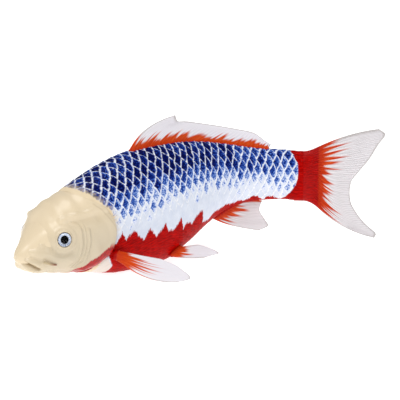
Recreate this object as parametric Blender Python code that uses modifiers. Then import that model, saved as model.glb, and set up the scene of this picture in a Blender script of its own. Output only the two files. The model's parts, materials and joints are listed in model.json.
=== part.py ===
"""A hollow moulded koi carp figure that rests on its belly, built from its separate castings.

Metres, +Z up. The head points towards -X and the figure's left side towards -Y, and the origin is the
bottom centre of the whole figure. The tail half of the body curves round towards the left side.
"""

import math

import bmesh
import bpy
import numpy as np
from mathutils import Matrix, Vector

MM = 0.001

# Overall sizes
LENGTH = 0.370        # snout to the upper tail tip, measured along the curved mid-plane
BACK_HEIGHT = 0.096   # table to the highest point of the back
BODY_WIDTH = 0.060    # across the widest point of the body
TAIL_BEND = 60.0      # degrees that the tail is turned from the head's heading

# Walls and fits
WALL = 2.6 * MM           # shell castings
FIT_GAP = 0.3 * MM        # between pieces that are glued or plugged together
NECK_GAP = 0.5 * MM       # between the head and the body halves
COLLAR_WALL = 2.2 * MM    # neck collar
COLLAR_IN_HEAD = 7.0 * MM
COLLAR_IN_BODY = 2.6 * MM
TAB_BITE = 3.5 * MM       # how far the back fin's foot stands inside the shells
TAB_LENGTH = 12.5 * MM    # of the other fins' roots, from the flex line inwards
PIN_DIAMETER = 4.0 * MM
PIN_LENGTH = 16.0 * MM
BOSS_WALL = 2.0 * MM

# Fins
CAUDAL_ROOT_THICKNESS = 4.0 * MM
ANAL_ROOT_THICKNESS = 2.6 * MM
PAIRED_ROOT_THICKNESS = 2.4 * MM
DORSAL_THICKNESS = 2.4 * MM
FIN_TIP_THICKNESS = 1.0 * MM

# Eyes and barbels
EYE_DIAMETER = 12.0 * MM
PUPIL_DIAMETER = 6.6 * MM
EYE_DEPTH = 4.2 * MM
LENS_HEIGHT = 2.0 * MM
BARBEL_DIAMETER = 1.7 * MM

# Mesh fineness
HEAD_RINGS = 14
BODY_RINGS = 27
HALF_SEGMENTS = 18        # round one side of the head or body
FIN_RAY_POINTS = 8

# Places on the figure are (s, side, z): s runs back from the snout along the curved mid-plane, side goes
# out from that plane towards the left, and z is up from the table. They are written in millimetres of the
# nominal figure and stretch with the overall sizes.
ALONG = LENGTH / 370
ACROSS = BODY_WIDTH / 60
UP = BACK_HEIGHT / 96

# s, back z, belly z, half width, share of the height where it is widest, upper and lower roundness
STATIONS = np.array([
    (0, 29.5, 29.5, 0, 0.42, 2.0, 2.0),
    (3, 36.5, 22, 6.8, 0.42, 2.2, 2.3),
    (10, 45.5, 16.5, 12, 0.44, 2.4, 2.3),
    (22, 57, 13, 20, 0.48, 2.5, 2.2),
    (36, 65, 10.5, 24.8, 0.50, 2.4, 2.1),
    (52, 72, 8, 27, 0.50, 2.15, 2.1),
    (75, 82, 4, 28.5, 0.48, 1.95, 2.2),
    (100, 90.5, -0.5, 29.5, 0.46, 1.9, 2.3),
    (125, 95, -1.5, 30, 0.46, 1.85, 2.3),
    (150, 96, -0.5, 29, 0.46, 1.85, 2.2),
    (175, 95.5, 7.5, 27, 0.47, 1.85, 2.0),
    (200, 93, 20, 24, 0.48, 1.85, 2.0),
    (225, 88.5, 31, 20.5, 0.50, 1.85, 2.0),
    (250, 83.5, 36.5, 17, 0.50, 1.9, 2.0),
    (275, 80, 37, 13.5, 0.50, 2.0, 2.0),
    (300, 78.5, 35, 10, 0.50, 2.0, 2.0),
    (325, 78.5, 35, 4, 0.50, 2.0, 2.0),
])
NECK_TOP, NECK_SIDE, NECK_THROAT = 53, 80, 54   # s of the seam behind the head and gill covers
SHELL_END = 298                                 # s where the body castings stop
BEND_FROM, BEND_TO, CHORD_TO = 165, 345, 350    # s where the tail's turn starts and ends, and the chord's end

# Fins: root, middle and tip of the rays, front ray first, each a few points spread evenly along the fin
DORSAL_BASE = (122, 136, 152, 172, 195, 218, 240, 256, 268)
DORSAL_MIDDLE = [(141, 0, 110.5), (156, 0, 108), (168, 0, 105.5), (186, 0, 103.5), (208, 0, 99),
                 (229, 0, 94.5), (248, 0, 90), (260, 0, 86.4), (268.6, 0, 83)]
DORSAL_TIP = [(174, 0, 118), (177, 0, 112.6), (186, 0, 111.4), (202, 0, 108), (220, 0, 104),
              (239, 0, 99.5), (254, 0, 95.5), (264, 0, 88.4), (270, 0, 84.4)]
CAUDAL_ROOT = [(312, 0, 83.5), (312, 0, 28)]
CAUDAL_MIDDLE = [(338, 0, 94.2), (338, 0, 87.5), (335, 0, 79), (331, 0, 69.5), (327, 0, 61), (325.5, 0, 52.5),
                 (325.5, 0, 44.5), (326.5, 0, 37), (329, 0, 29), (332, 0, 21.5), (334, 0, 16), (334, 0, 13)]
CAUDAL_TIP = [(362, 0, 100), (367.5, 0, 95.5), (361.5, 0, 86), (354.5, 0, 73.8), (345, 0, 61.5), (339, 0, 52.5),
              (338, 0, 44), (339, 0, 36), (344, 0, 26.5), (352, 0, 17), (361.5, 0, 8.6), (360, 0, 5)]
ANAL_ROOT = [(216, 0, 23.4), (240, 0, 31.2)]
ANAL_MIDDLE = [(235, 0, 15.6), (240, 0, 19), (245, 0, 22.6), (249, 0, 27), (251.5, 0, 31.4)]
ANAL_TIP = [(260, 0, 9.4), (268, 0, 13.6), (264.5, 0, 19.6), (261, 0, 25.4), (262.5, 0, 31.4)]
PECTORAL_ROOT = [(82, 27.5, 16.5), (79.5, 31.5, 25.5)]
PECTORAL_MIDDLE = [(89, 54, 5.6), (95, 53, 8), (99, 49, 11), (100.5, 43.5, 14.5), (98, 37.5, 19.5)]
PECTORAL_TIP = [(106, 71.5, 2.8), (114.5, 75, 4), (118.5, 68, 6.5), (119, 56, 10.5), (113, 44, 15)]
PELVIC_ROOT = [(147, 21.6, 6.8), (158, 23.2, 13.4)]
PELVIC_MIDDLE = [(158.5, 29.6, 4.6), (164, 30.2, 6), (166.5, 29.4, 8.4), (168, 28, 11), (167.5, 26.2, 13.4)]
PELVIC_TIP = [(172, 35.6, 3.6), (187, 39, 5.6), (185, 35.5, 8), (180, 31, 10.6), (173.5, 27, 13)]

EYE_AT = (28.5, 81)             # s and angle round the head
BARBEL_PATH = [(15.5, 108), (18.5, 113), (22, 118), (26, 122)]
PIN_PLACES = [(112, 82), (112, 12), (188, 82), (232, 64)]   # s and z of the pins between the body halves

parts = bpy.data.collections.new("koi_carp_figure")
cutters = bpy.data.collections.new("cutters")


def clear_scene():
    for obj in list(bpy.data.objects):
        bpy.data.objects.remove(obj)
    for collection in (parts, cutters):
        bpy.context.scene.collection.children.link(collection)


def material(name, colour, roughness, metallic=0.0, alpha=1.0):
    made = bpy.data.materials.new(name)
    made.use_nodes = True
    shader = made.node_tree.nodes["Principled BSDF"]
    shader.inputs["Base Color"].default_value = (*colour, 1)
    shader.inputs["Roughness"].default_value = roughness
    shader.inputs["Metallic"].default_value = metallic
    shader.inputs["Alpha"].default_value = alpha
    return made


# The curved mid-plane and the skin

def ease(t):
    t = np.clip(t, 0, 1)
    return t * t * (3 - 2 * t)


def through(x, y, at):
    """A smooth curve through the points (x, y) that never overshoots them, read at the places `at`."""
    x, y = np.asarray(x, float), np.asarray(y, float)
    step = np.diff(x)
    slope = np.diff(y) / step
    tangent = np.concatenate([[slope[0]], np.zeros(len(x) - 2), [slope[-1]]])
    rising = slope[:-1] * slope[1:] > 0
    before, after = 2 * step[1:] + step[:-1], step[1:] + 2 * step[:-1]
    inner = np.where(rising, slope[:-1] * slope[1:], 0)
    weight = before * slope[1:] + after * slope[:-1]
    tangent[1:-1] = np.where(rising, (before + after) * inner / np.where(rising, weight, 1), 0)
    k = np.clip(np.searchsorted(x, at, side="right") - 1, 0, len(step) - 1)
    t = (np.asarray(at, float) - x[k]) / step[k]
    h = step[k]
    return (y[k] * (1 + 2 * t) * (1 - t) ** 2 + y[k + 1] * t * t * (3 - 2 * t)
            + tangent[k] * h * t * (1 - t) ** 2 - tangent[k + 1] * h * t * t * (1 - t))


def spine():
    """s, x, y and heading of the mid-plane, which starts at the snout, with its chord along +X."""
    s = np.arange(-10, 400, 0.5)
    heading = -math.radians(TAIL_BEND) * ease((s - BEND_FROM) / (BEND_TO - BEND_FROM))

    def run(angle):
        steps = np.stack([np.cos(angle), np.sin(angle)])
        line = np.cumsum(0.5 * (steps[:, 1:] + steps[:, :-1]) * np.diff(s), axis=1)
        line = np.concatenate([np.zeros((2, 1)), line], axis=1)
        return [row - np.interp(0, s, row) for row in line]

    x, y = run(heading)
    heading = heading - math.atan2(np.interp(CHORD_TO, s, y), np.interp(CHORD_TO, s, x))
    x, y = run(heading)
    return s, x * ALONG, y * ALONG, heading


SPINE = spine()


def place(s, side, z):
    """World points, in metres, of places on the figure."""
    s, side, z = np.broadcast_arrays(*(np.asarray(v, float) for v in (s, side, z)))
    table, x, y, heading = SPINE
    turn = np.interp(s, table, heading)
    return np.stack([np.interp(s, table, x) + np.sin(turn) * side * ACROSS,
                     np.interp(s, table, y) - np.cos(turn) * side * ACROSS, z * UP], -1)


def places(points):
    return place(*np.array(points, float).T)


def section(s, angle):
    """side and z of the skin at angles round the body: 0 is the back, pi the belly, negative the right."""
    share = np.sqrt(np.clip(s, 0, None))
    known = np.sqrt(STATIONS[:, 0])
    top, bottom, half, widest, above, below = (through(known, STATIONS[:, k], share) for k in range(1, 7))
    middle = bottom + widest * (top - bottom)
    sine, cosine = np.sin(angle), np.cos(angle)
    power = 2 / np.where(cosine >= 0, above, below)
    side = half * np.abs(sine) ** power * np.sign(sine)
    z = middle + np.where(cosine >= 0, top - middle, bottom - middle) * np.abs(cosine) ** power
    return side, np.maximum(z, 0)


def skin(s, angle, depth=0.0):
    """World points at a depth under the skin, in metres, measured square to it."""
    s, angle = np.broadcast_arrays(np.asarray(s, float), np.asarray(angle, float))
    ds, da = 0.05, 0.004
    along = place(s + ds, *section(s + ds, angle)) - place(s - ds, *section(s - ds, angle))
    round_it = place(s, *section(s, angle + da)) - place(s, *section(s, angle - da))
    inward = np.cross(along, round_it)
    inward /= np.linalg.norm(inward, axis=-1, keepdims=True)
    return place(s, *section(s, angle)) + inward * np.asarray(depth)[..., None]


def neck(angle):
    """s of the seam behind the head, which follows the gill cover's rear edge."""
    lift = np.abs(np.sin(angle))
    return np.where(np.abs(angle) < math.pi / 2, NECK_TOP + (NECK_SIDE - NECK_TOP) * lift ** 2.8,
                    NECK_THROAT + (NECK_SIDE - NECK_THROAT) * lift ** 2)


# Mesh building

def add_object(name, points, faces, finish, origin=(0, 0, 0), collection=parts):
    origin = np.asarray(origin, float)
    mesh = bpy.data.meshes.new(name)
    mesh.from_pydata((np.asarray(points) - origin).tolist(), [], faces)
    tidy = bmesh.new()
    tidy.from_mesh(mesh)
    bmesh.ops.recalc_face_normals(tidy, faces=tidy.faces)
    if tidy.calc_volume(signed=True) < 0:
        bmesh.ops.reverse_faces(tidy, faces=tidy.faces)
    tidy.to_mesh(mesh)
    tidy.free()
    mesh.materials.append(finish)
    mesh.shade_smooth()
    mesh.set_sharp_from_angle(angle=math.radians(40))
    obj = bpy.data.objects.new(name, mesh)
    obj.location = origin
    collection.objects.link(obj)
    return obj


def grid_faces(rows, columns, start=0, wrap=False):
    """Quads over a grid of points stored row by row."""
    last = columns if wrap else columns - 1
    return [(start + i * columns + j, start + i * columns + (j + 1) % columns,
             start + (i + 1) * columns + (j + 1) % columns, start + (i + 1) * columns + j)
            for i in range(rows - 1) for j in range(last)]


def shell(name, outer, inner, finish, wrap, front_closed=False):
    """A casting with walls: an outer and an inner grid of points, joined along their open edges."""
    rows, columns = outer.shape[:2]
    count = rows * columns
    faces = grid_faces(rows, columns, 0, wrap) + grid_faces(rows, columns, count, wrap)
    last = columns if wrap else columns - 1
    if front_closed:
        faces += [tuple(range(columns)), tuple(count + j for j in range(columns))]
    for i in ([rows - 1] if front_closed else [0, rows - 1]):
        row = i * columns
        faces += [(row + j, row + (j + 1) % columns, count + row + (j + 1) % columns, count + row + j)
                  for j in range(last)]
    if not wrap:
        for j in (0, columns - 1):
            faces += [(i * columns + j, (i + 1) * columns + j, count + (i + 1) * columns + j,
                       count + i * columns + j) for i in range(rows - 1)]
    points = np.concatenate([outer.reshape(-1, 3), inner.reshape(-1, 3)])
    return add_object(name, points, faces, finish)


def loft(name, rings, finish, origin=(0, 0, 0), collection=parts, ladder=0):
    """A solid through closed rings of points, with a face at each end.

    A ladder is the number of points on the first side of a thin ring, which the second side mirrors. The
    end is then closed rung by rung, because it follows a curve.
    """
    rings = np.asarray(rings)
    rows, columns = rings.shape[:2]
    faces = grid_faces(rows, columns, 0, True)
    for start in (0, (rows - 1) * columns):
        faces += [(start + j, start + j + 1, start + 2 * ladder - 2 - j, start + 2 * ladder - 1 - j)
                  for j in range(ladder - 1)]
        if columns > 2 * ladder:
            rest = range(2 * ladder - 1, columns) if ladder else range(columns - 1)
            faces.append((start + (0 if ladder else columns - 1), *(start + j for j in rest)))
    return add_object(name, rings.reshape(-1, 3), faces, finish, origin, collection)


def wrap_quad(name, rings, finish):
    """A ring-shaped solid: four-sided sections all the way round."""
    rings = np.asarray(rings)
    rows, columns = rings.shape[:2]
    faces = grid_faces(rows, columns, 0, True)
    faces += [((rows - 1) * columns + j, (rows - 1) * columns + (j + 1) % columns, (j + 1) % columns, j)
              for j in range(columns)]
    return add_object(name, rings.reshape(-1, 3), faces, finish)


def turned(name, profile, finish, at, frame, steps=32):
    """A solid of revolution about its own Z. The profile runs down its outer side, top to bottom."""
    mesh = bpy.data.meshes.new(name)
    mesh.from_pydata([(r, 0, z) for r, z in profile], [(i, i + 1) for i in range(len(profile) - 1)], [])
    mesh.materials.append(finish)
    obj = bpy.data.objects.new(name, mesh)
    screw = obj.modifiers.new("turn", "SCREW")
    screw.steps = steps
    screw.render_steps = steps
    screw.use_merge_vertices = True
    screw.merge_threshold = 0.00001
    obj.matrix_world = Matrix.Translation(at) @ frame.to_4x4()
    parts.objects.link(obj)
    return obj


def cut(target, cutter):
    cutter.hide_render = True
    cutter.display_type = "WIRE"
    boolean = target.modifiers.new(cutter.name, "BOOLEAN")
    boolean.operation = "DIFFERENCE"
    boolean.solver = "EXACT"
    boolean.object = cutter


def cylinder(name, at, axis, radius, length, finish, collection=cutters, segments=24):
    """A cylinder centred on a point, along an axis."""
    made = bmesh.new()
    bmesh.ops.create_cone(made, cap_ends=True, segments=segments, radius1=radius, radius2=radius, depth=length)
    mesh = bpy.data.meshes.new(name)
    made.to_mesh(mesh)
    made.free()
    mesh.materials.append(finish)
    mesh.shade_smooth()
    mesh.set_sharp_from_angle(angle=math.radians(40))
    obj = bpy.data.objects.new(name, mesh)
    obj.matrix_world = Matrix.Translation(at) @ Vector(axis).to_track_quat("Z", "Y").to_matrix().to_4x4()
    collection.objects.link(obj)
    return obj


# Castings

def head_shell(finish):
    angle = np.linspace(0, 2 * math.pi, 2 * HALF_SEGMENTS, endpoint=False)
    angle = np.where(angle > math.pi, angle - 2 * math.pi, angle)[None, :]
    share = np.linspace(0, 1, HEAD_RINGS)[:, None] ** 1.7
    first = 0.6
    s = first + share * (neck(angle) - first)
    return shell("head_shell", skin(s, angle), skin(s, angle, WALL), finish, wrap=True, front_closed=True)


def body_shell(name, sign, finish):
    """One half of the body casting; both stop half a gap short of the mid-plane."""
    angle = sign * np.linspace(0, math.pi, HALF_SEGMENTS + 1)[None, :]
    start = neck(angle) + NECK_GAP / ALONG
    s = start + np.linspace(0, 1, BODY_RINGS)[:, None] * (SHELL_END - start)
    turn = np.interp(s, SPINE[0], SPINE[3])
    outward = np.stack([np.sin(turn), -np.cos(turn), np.zeros_like(turn)], -1)
    outward = np.broadcast_to(outward, s.shape + (3,)) * sign * FIT_GAP / 2
    return shell(name, skin(s, angle) + outward, skin(s, angle, WALL) + outward, finish, wrap=False)


def neck_collar(finish):
    """The ring inside the seam that the head and both body halves are glued to."""
    angle = np.linspace(0, 2 * math.pi, 2 * HALF_SEGMENTS, endpoint=False)
    angle = np.where(angle > math.pi, angle - 2 * math.pi, angle)
    front, rear = neck(angle) - COLLAR_IN_HEAD / ALONG, neck(angle) + COLLAR_IN_BODY / ALONG
    outer, inner = WALL + FIT_GAP, WALL + FIT_GAP + COLLAR_WALL
    corners = [(front, outer), (rear, outer), (rear, inner), (front, inner)]
    return wrap_quad("neck_collar", np.stack([skin(s, angle, depth) for s, depth in corners], 1), finish)


def caudal_root(finish):
    """The tail's plug: inside the shells as far as their end, then tapering to the tail's flex line."""
    angle = np.linspace(-math.pi, math.pi, 28, endpoint=False)
    flange = SHELL_END + FIT_GAP / ALONG
    end = CAUDAL_ROOT[0][0] - (CAUDAL_ROOT_THICKNESS / 2 + FIT_GAP) / ALONG
    plug = WALL + FIT_GAP
    rings = [skin(s, angle, plug) for s in (SHELL_END - 12, flange)]
    top, bottom = CAUDAL_ROOT[0][2], CAUDAL_ROOT[1][2]
    side, z = section(flange, angle)
    for share in (0, 0.35, 0.7, 1):
        s = flange + share * (end - flange)
        thin = 1 + share * (CAUDAL_ROOT_THICKNESS / 2 / ACROSS / side.max() - 1)
        low = z.min() + (bottom - z.min()) * share
        high = z.max() + (top - z.max()) * share
        rings.append(place(s, side * thin, low + (z - z.min()) / (z.max() - z.min()) * (high - low)))
    return loft("caudal_root", rings, finish)


# Fins

def hinge_frame(root, middle):
    """Unit vectors along a fin's flex line, out along the blade, and square to the blade."""
    root, middle = places(root), places(middle)
    axis = root[-1] - root[0]
    axis /= np.linalg.norm(axis)
    out = middle.mean(0) - root.mean(0)
    out -= axis * (out @ axis)
    out /= np.linalg.norm(out)
    return axis, out, np.cross(axis, out)


def fin_blade(name, root, middle, tip, thickness, finish, columns=15):
    """A fin from a half-round edge on its flex line to a thin tip, as thick to one side as to the other."""
    share = np.linspace(0, 1, columns)
    rows = [np.stack([through(np.linspace(0, 1, len(line)), column, share) for column in places(line).T], -1)
            for line in (root, middle, tip)]
    axis, out, square = hinge_frame(root, middle)
    u = np.linspace(0, 1, FIN_RAY_POINTS)[None, :, None]
    start, mid, end = (row[:, None, :] for row in rows)
    rays = (1 - u) ** 2 * start + 2 * u * (1 - u) * (2 * mid - 0.5 * (start + end)) + u * u * end
    normal = np.cross(np.gradient(rays, axis=0), np.gradient(rays, axis=1))
    normal /= np.linalg.norm(normal, axis=2, keepdims=True)
    turn = ease(u / 0.3)
    normal = square * (1 - turn) + normal * turn
    half = 0.5 * (thickness + (FIN_TIP_THICKNESS - thickness) * u)
    half = half * normal / np.linalg.norm(normal, axis=2, keepdims=True)
    arc = np.linspace(-math.pi / 2, math.pi / 2, 7)[1:-1, None]
    edge = start + thickness / 2 * (np.sin(arc) * square - np.cos(arc) * out)
    loops = np.concatenate([rays + half, (rays - half)[:, ::-1], edge], axis=1)
    blade = loft(name, loops, finish, origin=rows[0].mean(0), ladder=FIN_RAY_POINTS)
    split_alike(blade, columns, loops.shape[1])
    return blade


def split_alike(blade, columns, around):
    """Splits a blade's quads so that both sides fold along the same diagonals, which keeps it evenly thick."""
    tidy = bmesh.new()
    tidy.from_mesh(blade.data)
    tidy.verts.ensure_lookup_table()
    for i in range(columns - 1):
        for j in range(around):
            low, high = i * around + j, i * around + (j + 1) % around
            ends = (high, low + around) if j < FIN_RAY_POINTS else (low, high + around)
            bmesh.ops.connect_verts(tidy, verts=[tidy.verts[k] for k in ends])
    tidy.to_mesh(blade.data)
    tidy.free()


def block(name, near, far, half, finish, collection=parts):
    """A six-sided solid between two edge lines, thickened to both sides."""
    return loft(name, [[line[0] + half, line[1] + half, line[1] - half, line[0] - half] for line in (near, far)],
                finish, collection=collection)


def fin_root(name, root, middle, thickness, finish, shells, straight_in=False):
    """The rigid root that a fin flexes on: a tab through a slot in the shell, in line with the blade."""
    axis, out, square = hinge_frame(root, middle)
    line = places(root)
    if straight_in:
        out = line[0] - places([(root[0][0], 0, root[0][2])])[0]
        out -= axis * (out @ axis)
        out /= np.linalg.norm(out)
        square = np.cross(axis, out)
    outer = line - out * (thickness / 2 + FIT_GAP)
    inner = line - out * TAB_LENGTH
    root_obj = block(name, inner, outer, square * thickness / 2, finish)
    bevel = root_obj.modifiers.new("soft edges", "BEVEL")
    bevel.width = 0.5 * MM
    bevel.segments = 2
    wide = np.array([-axis, axis]) * FIT_GAP
    slot = block(name + "_slot", inner + wide - out * 2 * MM, outer + wide + out * 2 * MM,
                 square * (thickness / 2 + FIT_GAP), finish, cutters)
    for obj in shells:
        cut(obj, slot)
    return root_obj


def dorsal_fin(finish, shells):
    """The long back fin, whose foot stands in a slot along the seam between the body halves."""
    base = np.array(DORSAL_BASE, float)
    back = section(base, np.zeros(len(base)))[1]
    foot = back - (WALL + TAB_BITE) / UP
    share, knots = np.linspace(0, 1, 30), np.linspace(0, 1, len(base))
    lines = [np.stack([base, 0 * base, foot], -1), np.stack([base, 0 * base, back], -1),
             np.array(DORSAL_MIDDLE), np.array(DORSAL_TIP)]
    rows = [np.stack([through(knots, column, share) for column in line.T], -1) for line in lines]
    sides = []
    for sign in (1, -1):
        half = [sign * width / 2 / ACROSS for width in
                (DORSAL_THICKNESS, DORSAL_THICKNESS, 0.7 * DORSAL_THICKNESS, FIN_TIP_THICKNESS)]
        sides.append([place(row[:, 0], h, row[:, 2]) for row, h in zip(rows, half)])
    loops = np.stack(sides[0] + sides[1][::-1], 1)
    fin = loft("dorsal_fin", loops, finish, ladder=len(rows))
    slot_s = np.linspace(base[0] - FIT_GAP / ALONG, base[-1] + FIT_GAP / ALONG, 30)
    top = section(slot_s, np.zeros(30))[1]
    low, high = top - (WALL + TAB_BITE + 2 * MM) / UP, top + 4 * MM / UP
    half = (DORSAL_THICKNESS / 2 + FIT_GAP) / ACROSS
    slot = loft("dorsal_slot", np.stack([place(slot_s, half, low), place(slot_s, half, high),
                                         place(slot_s, -half, high), place(slot_s, -half, low)], 1),
                finish, collection=cutters)
    for obj in shells:
        cut(obj, slot)
    return fin


def mirrored(points):
    return [(s, -side, z) for s, side, z in points]


# Eyes, barbels and pins

def eye_frame(sign):
    """Centre of an eye on the skin, and a rotation whose Z looks out of the head."""
    s, angle = EYE_AT[0], sign * math.radians(EYE_AT[1])
    centre, inside = skin(s, angle), skin(s, angle, WALL)
    return Vector(centre), Vector(centre - inside).to_track_quat("Z", "Y").to_matrix()


def eye(side, sign, finishes, head):
    """A silvered cup, a black pupil in its pocket and a clear dome over both."""
    centre, frame = eye_frame(sign)
    radius, pocket = EYE_DIAMETER / 2, PUPIL_DIAMETER / 2 + FIT_GAP
    rim, lip = radius - 0.7 * MM, 0.9 * MM
    turned(side + "_eye_cup", [
        (rim, lip), (radius - 0.2 * MM, lip - 0.1 * MM), (radius, lip - 0.4 * MM), (radius, -EYE_DEPTH),
        (0, -EYE_DEPTH), (0, -1.6 * MM), (pocket, -1.6 * MM), (pocket, -0.5 * MM), (rim, 0.1 * MM), (rim, lip),
    ], finishes["silver"], centre, frame)
    pupil = PUPIL_DIAMETER / 2
    turned(side + "_eye_pupil", [(0, -0.25 * MM), (0.6 * pupil, -0.3 * MM), (pupil, -0.6 * MM),
                                 (pupil, -1.3 * MM), (0, -1.3 * MM)], finishes["black"], centre, frame)
    lens = rim - FIT_GAP
    dome = [(lens * math.sin(a), 0.5 * MM + LENS_HEIGHT * math.cos(a))
            for a in np.radians(np.linspace(0, 90, 8))]
    turned(side + "_eye_lens", dome + [(lens, 0.45 * MM), (pocket, 0.05 * MM), (0, 0.05 * MM)],
           finishes["clear"], centre, frame)
    socket = cylinder(side + "_eye_socket", centre, frame.col[2], radius + FIT_GAP, 6 * EYE_DEPTH,
                      finishes["silver"], segments=32)
    cut(head, socket)


def barbel(name, sign, finish):
    """A whisker that lies along the cheek from the corner of the mouth."""
    knots, share = np.linspace(0, 1, len(BARBEL_PATH)), np.linspace(0, 1, 9)
    s, angle = (through(knots, column, share) for column in np.array(BARBEL_PATH, float).T)
    radius = BARBEL_DIAMETER / 2
    thick = radius * np.interp(share, [0, 0.7, 1], [1, 0.85, 0.35])
    centre = skin(s, sign * np.radians(angle), -(radius + FIT_GAP))
    run = np.gradient(centre, axis=0)
    run /= np.linalg.norm(run, axis=1, keepdims=True)
    across = np.cross(run, (0, 0, 1.0))
    across /= np.linalg.norm(across, axis=1, keepdims=True)
    over = np.cross(run, across)
    rings = [centre + (across * math.cos(a) + over * math.sin(a)) * thick[:, None]
             for a in np.linspace(0, 2 * math.pi, 10, endpoint=False)]
    return loft(name, np.stack(rings, 1), finish)


def locating_pins(finish, shell_finish, left, right):
    """Pins across the mid-plane, each in a boss on either half."""
    for number, (s, z) in enumerate(PIN_PLACES, 1):
        centre, left_of = place(s, 0, z), place(s, 10, z) - place(s, 0, z)
        axis = left_of / np.linalg.norm(left_of)
        cylinder(f"locating_pin_{number}", Vector(centre), axis, PIN_DIAMETER / 2, PIN_LENGTH, finish, parts)
        for obj, sign in ((left, 1), (right, -1)):
            radius = PIN_DIAMETER / 2 + FIT_GAP + BOSS_WALL
            start, end = FIT_GAP / 2, narrowest(s, z, radius / UP) - 0.7 * WALL
            boss = cylinder(f"{obj.name}_boss_{number}", Vector(centre + sign * axis * (start + end) / 2), axis,
                            radius, end - start, shell_finish)
            boss.hide_render = True
            boss.display_type = "WIRE"
            join = obj.modifiers.new(boss.name, "BOOLEAN")
            join.operation = "UNION"
            join.solver = "EXACT"
            join.object = boss
            bore = cylinder(f"{obj.name}_bore_{number}", Vector(centre), axis,
                            PIN_DIAMETER / 2 + FIT_GAP, PIN_LENGTH + 2 * FIT_GAP, shell_finish)
            cut(obj, bore)


def narrowest(s, z, radius):
    """Least distance from the mid-plane to the skin round a boss of this radius, in metres."""
    angle = np.linspace(0.02, math.pi - 0.02, 600)
    sides, heights = zip(*(section(np.full(600, float(at)), angle) for at in (s - radius, s, s + radius)))
    near = np.abs(np.array(heights) - z) <= radius
    return float(np.array(sides)[near].min()) * ACROSS


def main():
    clear_scene()
    cream = material("cream_gloss_lacquer", (0.80, 0.66, 0.46), 0.25)
    blue = material("navy_scale_paint", (0.03, 0.07, 0.30), 0.45)
    red = material("vermilion_root_paint", (0.62, 0.05, 0.01), 0.45)
    milky = material("milky_fin_vinyl", (0.85, 0.84, 0.86), 0.35)
    grey = material("grey_structural_vinyl", (0.45, 0.45, 0.45), 0.6)
    finishes = {"silver": material("silvered_eye_cup", (0.72, 0.77, 0.84), 0.2, 0.8),
                "black": material("black_pupil", (0.01, 0.01, 0.01), 0.2),
                "clear": material("clear_acrylic", (1, 1, 1), 0.03, alpha=0.3)}
    head = head_shell(cream)
    left, right = body_shell("body_shell_left", 1, blue), body_shell("body_shell_right", -1, blue)
    collar = neck_collar(grey)
    caudal_root(red)
    locating_pins(grey, blue, left, right)
    dorsal_fin(milky, (left, right))
    fin_root("anal_root", ANAL_ROOT, ANAL_MIDDLE, ANAL_ROOT_THICKNESS, red, (left, right))
    fin_blade("anal_fin", ANAL_ROOT, ANAL_MIDDLE, ANAL_TIP, ANAL_ROOT_THICKNESS, milky)
    fin_blade("caudal_fin", CAUDAL_ROOT, CAUDAL_MIDDLE, CAUDAL_TIP, CAUDAL_ROOT_THICKNESS, milky, columns=34)
    for side, sign, half in (("left", 1, left), ("right", -1, right)):
        for kind, *lines in (("pectoral", PECTORAL_ROOT, PECTORAL_MIDDLE, PECTORAL_TIP),
                             ("pelvic", PELVIC_ROOT, PELVIC_MIDDLE, PELVIC_TIP)):
            root, middle, tip = lines if sign > 0 else map(mirrored, lines)
            by_the_neck = kind == "pectoral"
            fin_root(f"{side}_{kind}_root", root, middle, PAIRED_ROOT_THICKNESS, red,
                     (half, collar) if by_the_neck else (half,), straight_in=by_the_neck)
            fin_blade(f"{side}_{kind}_fin", root, middle, tip, PAIRED_ROOT_THICKNESS, milky)
        eye(side, sign, finishes, head)
        barbel(f"{side}_barbel", sign, cream)
    stand_on_origin()


def stand_on_origin():
    """Moves everything so that the origin is the bottom centre of the figure's box."""
    bpy.context.view_layer.update()
    corners = np.array([obj.matrix_world @ vertex.co for obj in parts.objects for vertex in obj.data.vertices])
    middle = (corners.min(0) + corners.max(0)) / 2
    origin = bpy.data.objects.new("figure_origin", None)
    parts.objects.link(origin)
    for collection in (parts, cutters):
        for obj in collection.objects:
            if obj is not origin:
                obj.parent = origin
    origin.location = (-middle[0], -middle[1], 0)


main()
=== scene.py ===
"""The finished looks of a moulded koi carp display figure that rests on its belly.

Metres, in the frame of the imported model: the head points towards -X, the figure's left side towards -Y,
and +Z is up. Shapes are laid out as in the castings: s runs back from the snout along the curved
mid-plane, side goes out from it to the left, z is up, and `down` is the way round the skin from the back.
"""

import json
import math

import bmesh
import bpy
import numpy as np
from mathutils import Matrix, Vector


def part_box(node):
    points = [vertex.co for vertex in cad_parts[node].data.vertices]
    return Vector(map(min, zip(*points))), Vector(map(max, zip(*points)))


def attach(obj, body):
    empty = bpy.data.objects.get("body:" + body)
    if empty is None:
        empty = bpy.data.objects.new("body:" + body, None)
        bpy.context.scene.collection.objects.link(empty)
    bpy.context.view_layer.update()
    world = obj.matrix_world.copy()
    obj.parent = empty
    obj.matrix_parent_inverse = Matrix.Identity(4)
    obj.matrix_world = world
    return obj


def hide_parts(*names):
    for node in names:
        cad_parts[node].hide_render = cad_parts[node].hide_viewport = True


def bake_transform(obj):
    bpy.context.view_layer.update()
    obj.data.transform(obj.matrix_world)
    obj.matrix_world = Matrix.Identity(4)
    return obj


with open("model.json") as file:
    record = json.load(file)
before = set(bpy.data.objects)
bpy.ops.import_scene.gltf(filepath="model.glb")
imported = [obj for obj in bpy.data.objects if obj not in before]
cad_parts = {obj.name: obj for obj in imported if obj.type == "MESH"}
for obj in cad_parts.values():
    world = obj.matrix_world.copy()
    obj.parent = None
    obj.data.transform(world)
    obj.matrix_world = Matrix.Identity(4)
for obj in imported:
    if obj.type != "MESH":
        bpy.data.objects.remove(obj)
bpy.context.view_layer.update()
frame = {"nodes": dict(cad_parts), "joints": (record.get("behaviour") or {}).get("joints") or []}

MM = 0.001
WALL = 2.6                # shell castings, mm
TAIL_BEND = 60.0          # degrees that the tail is turned
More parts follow.
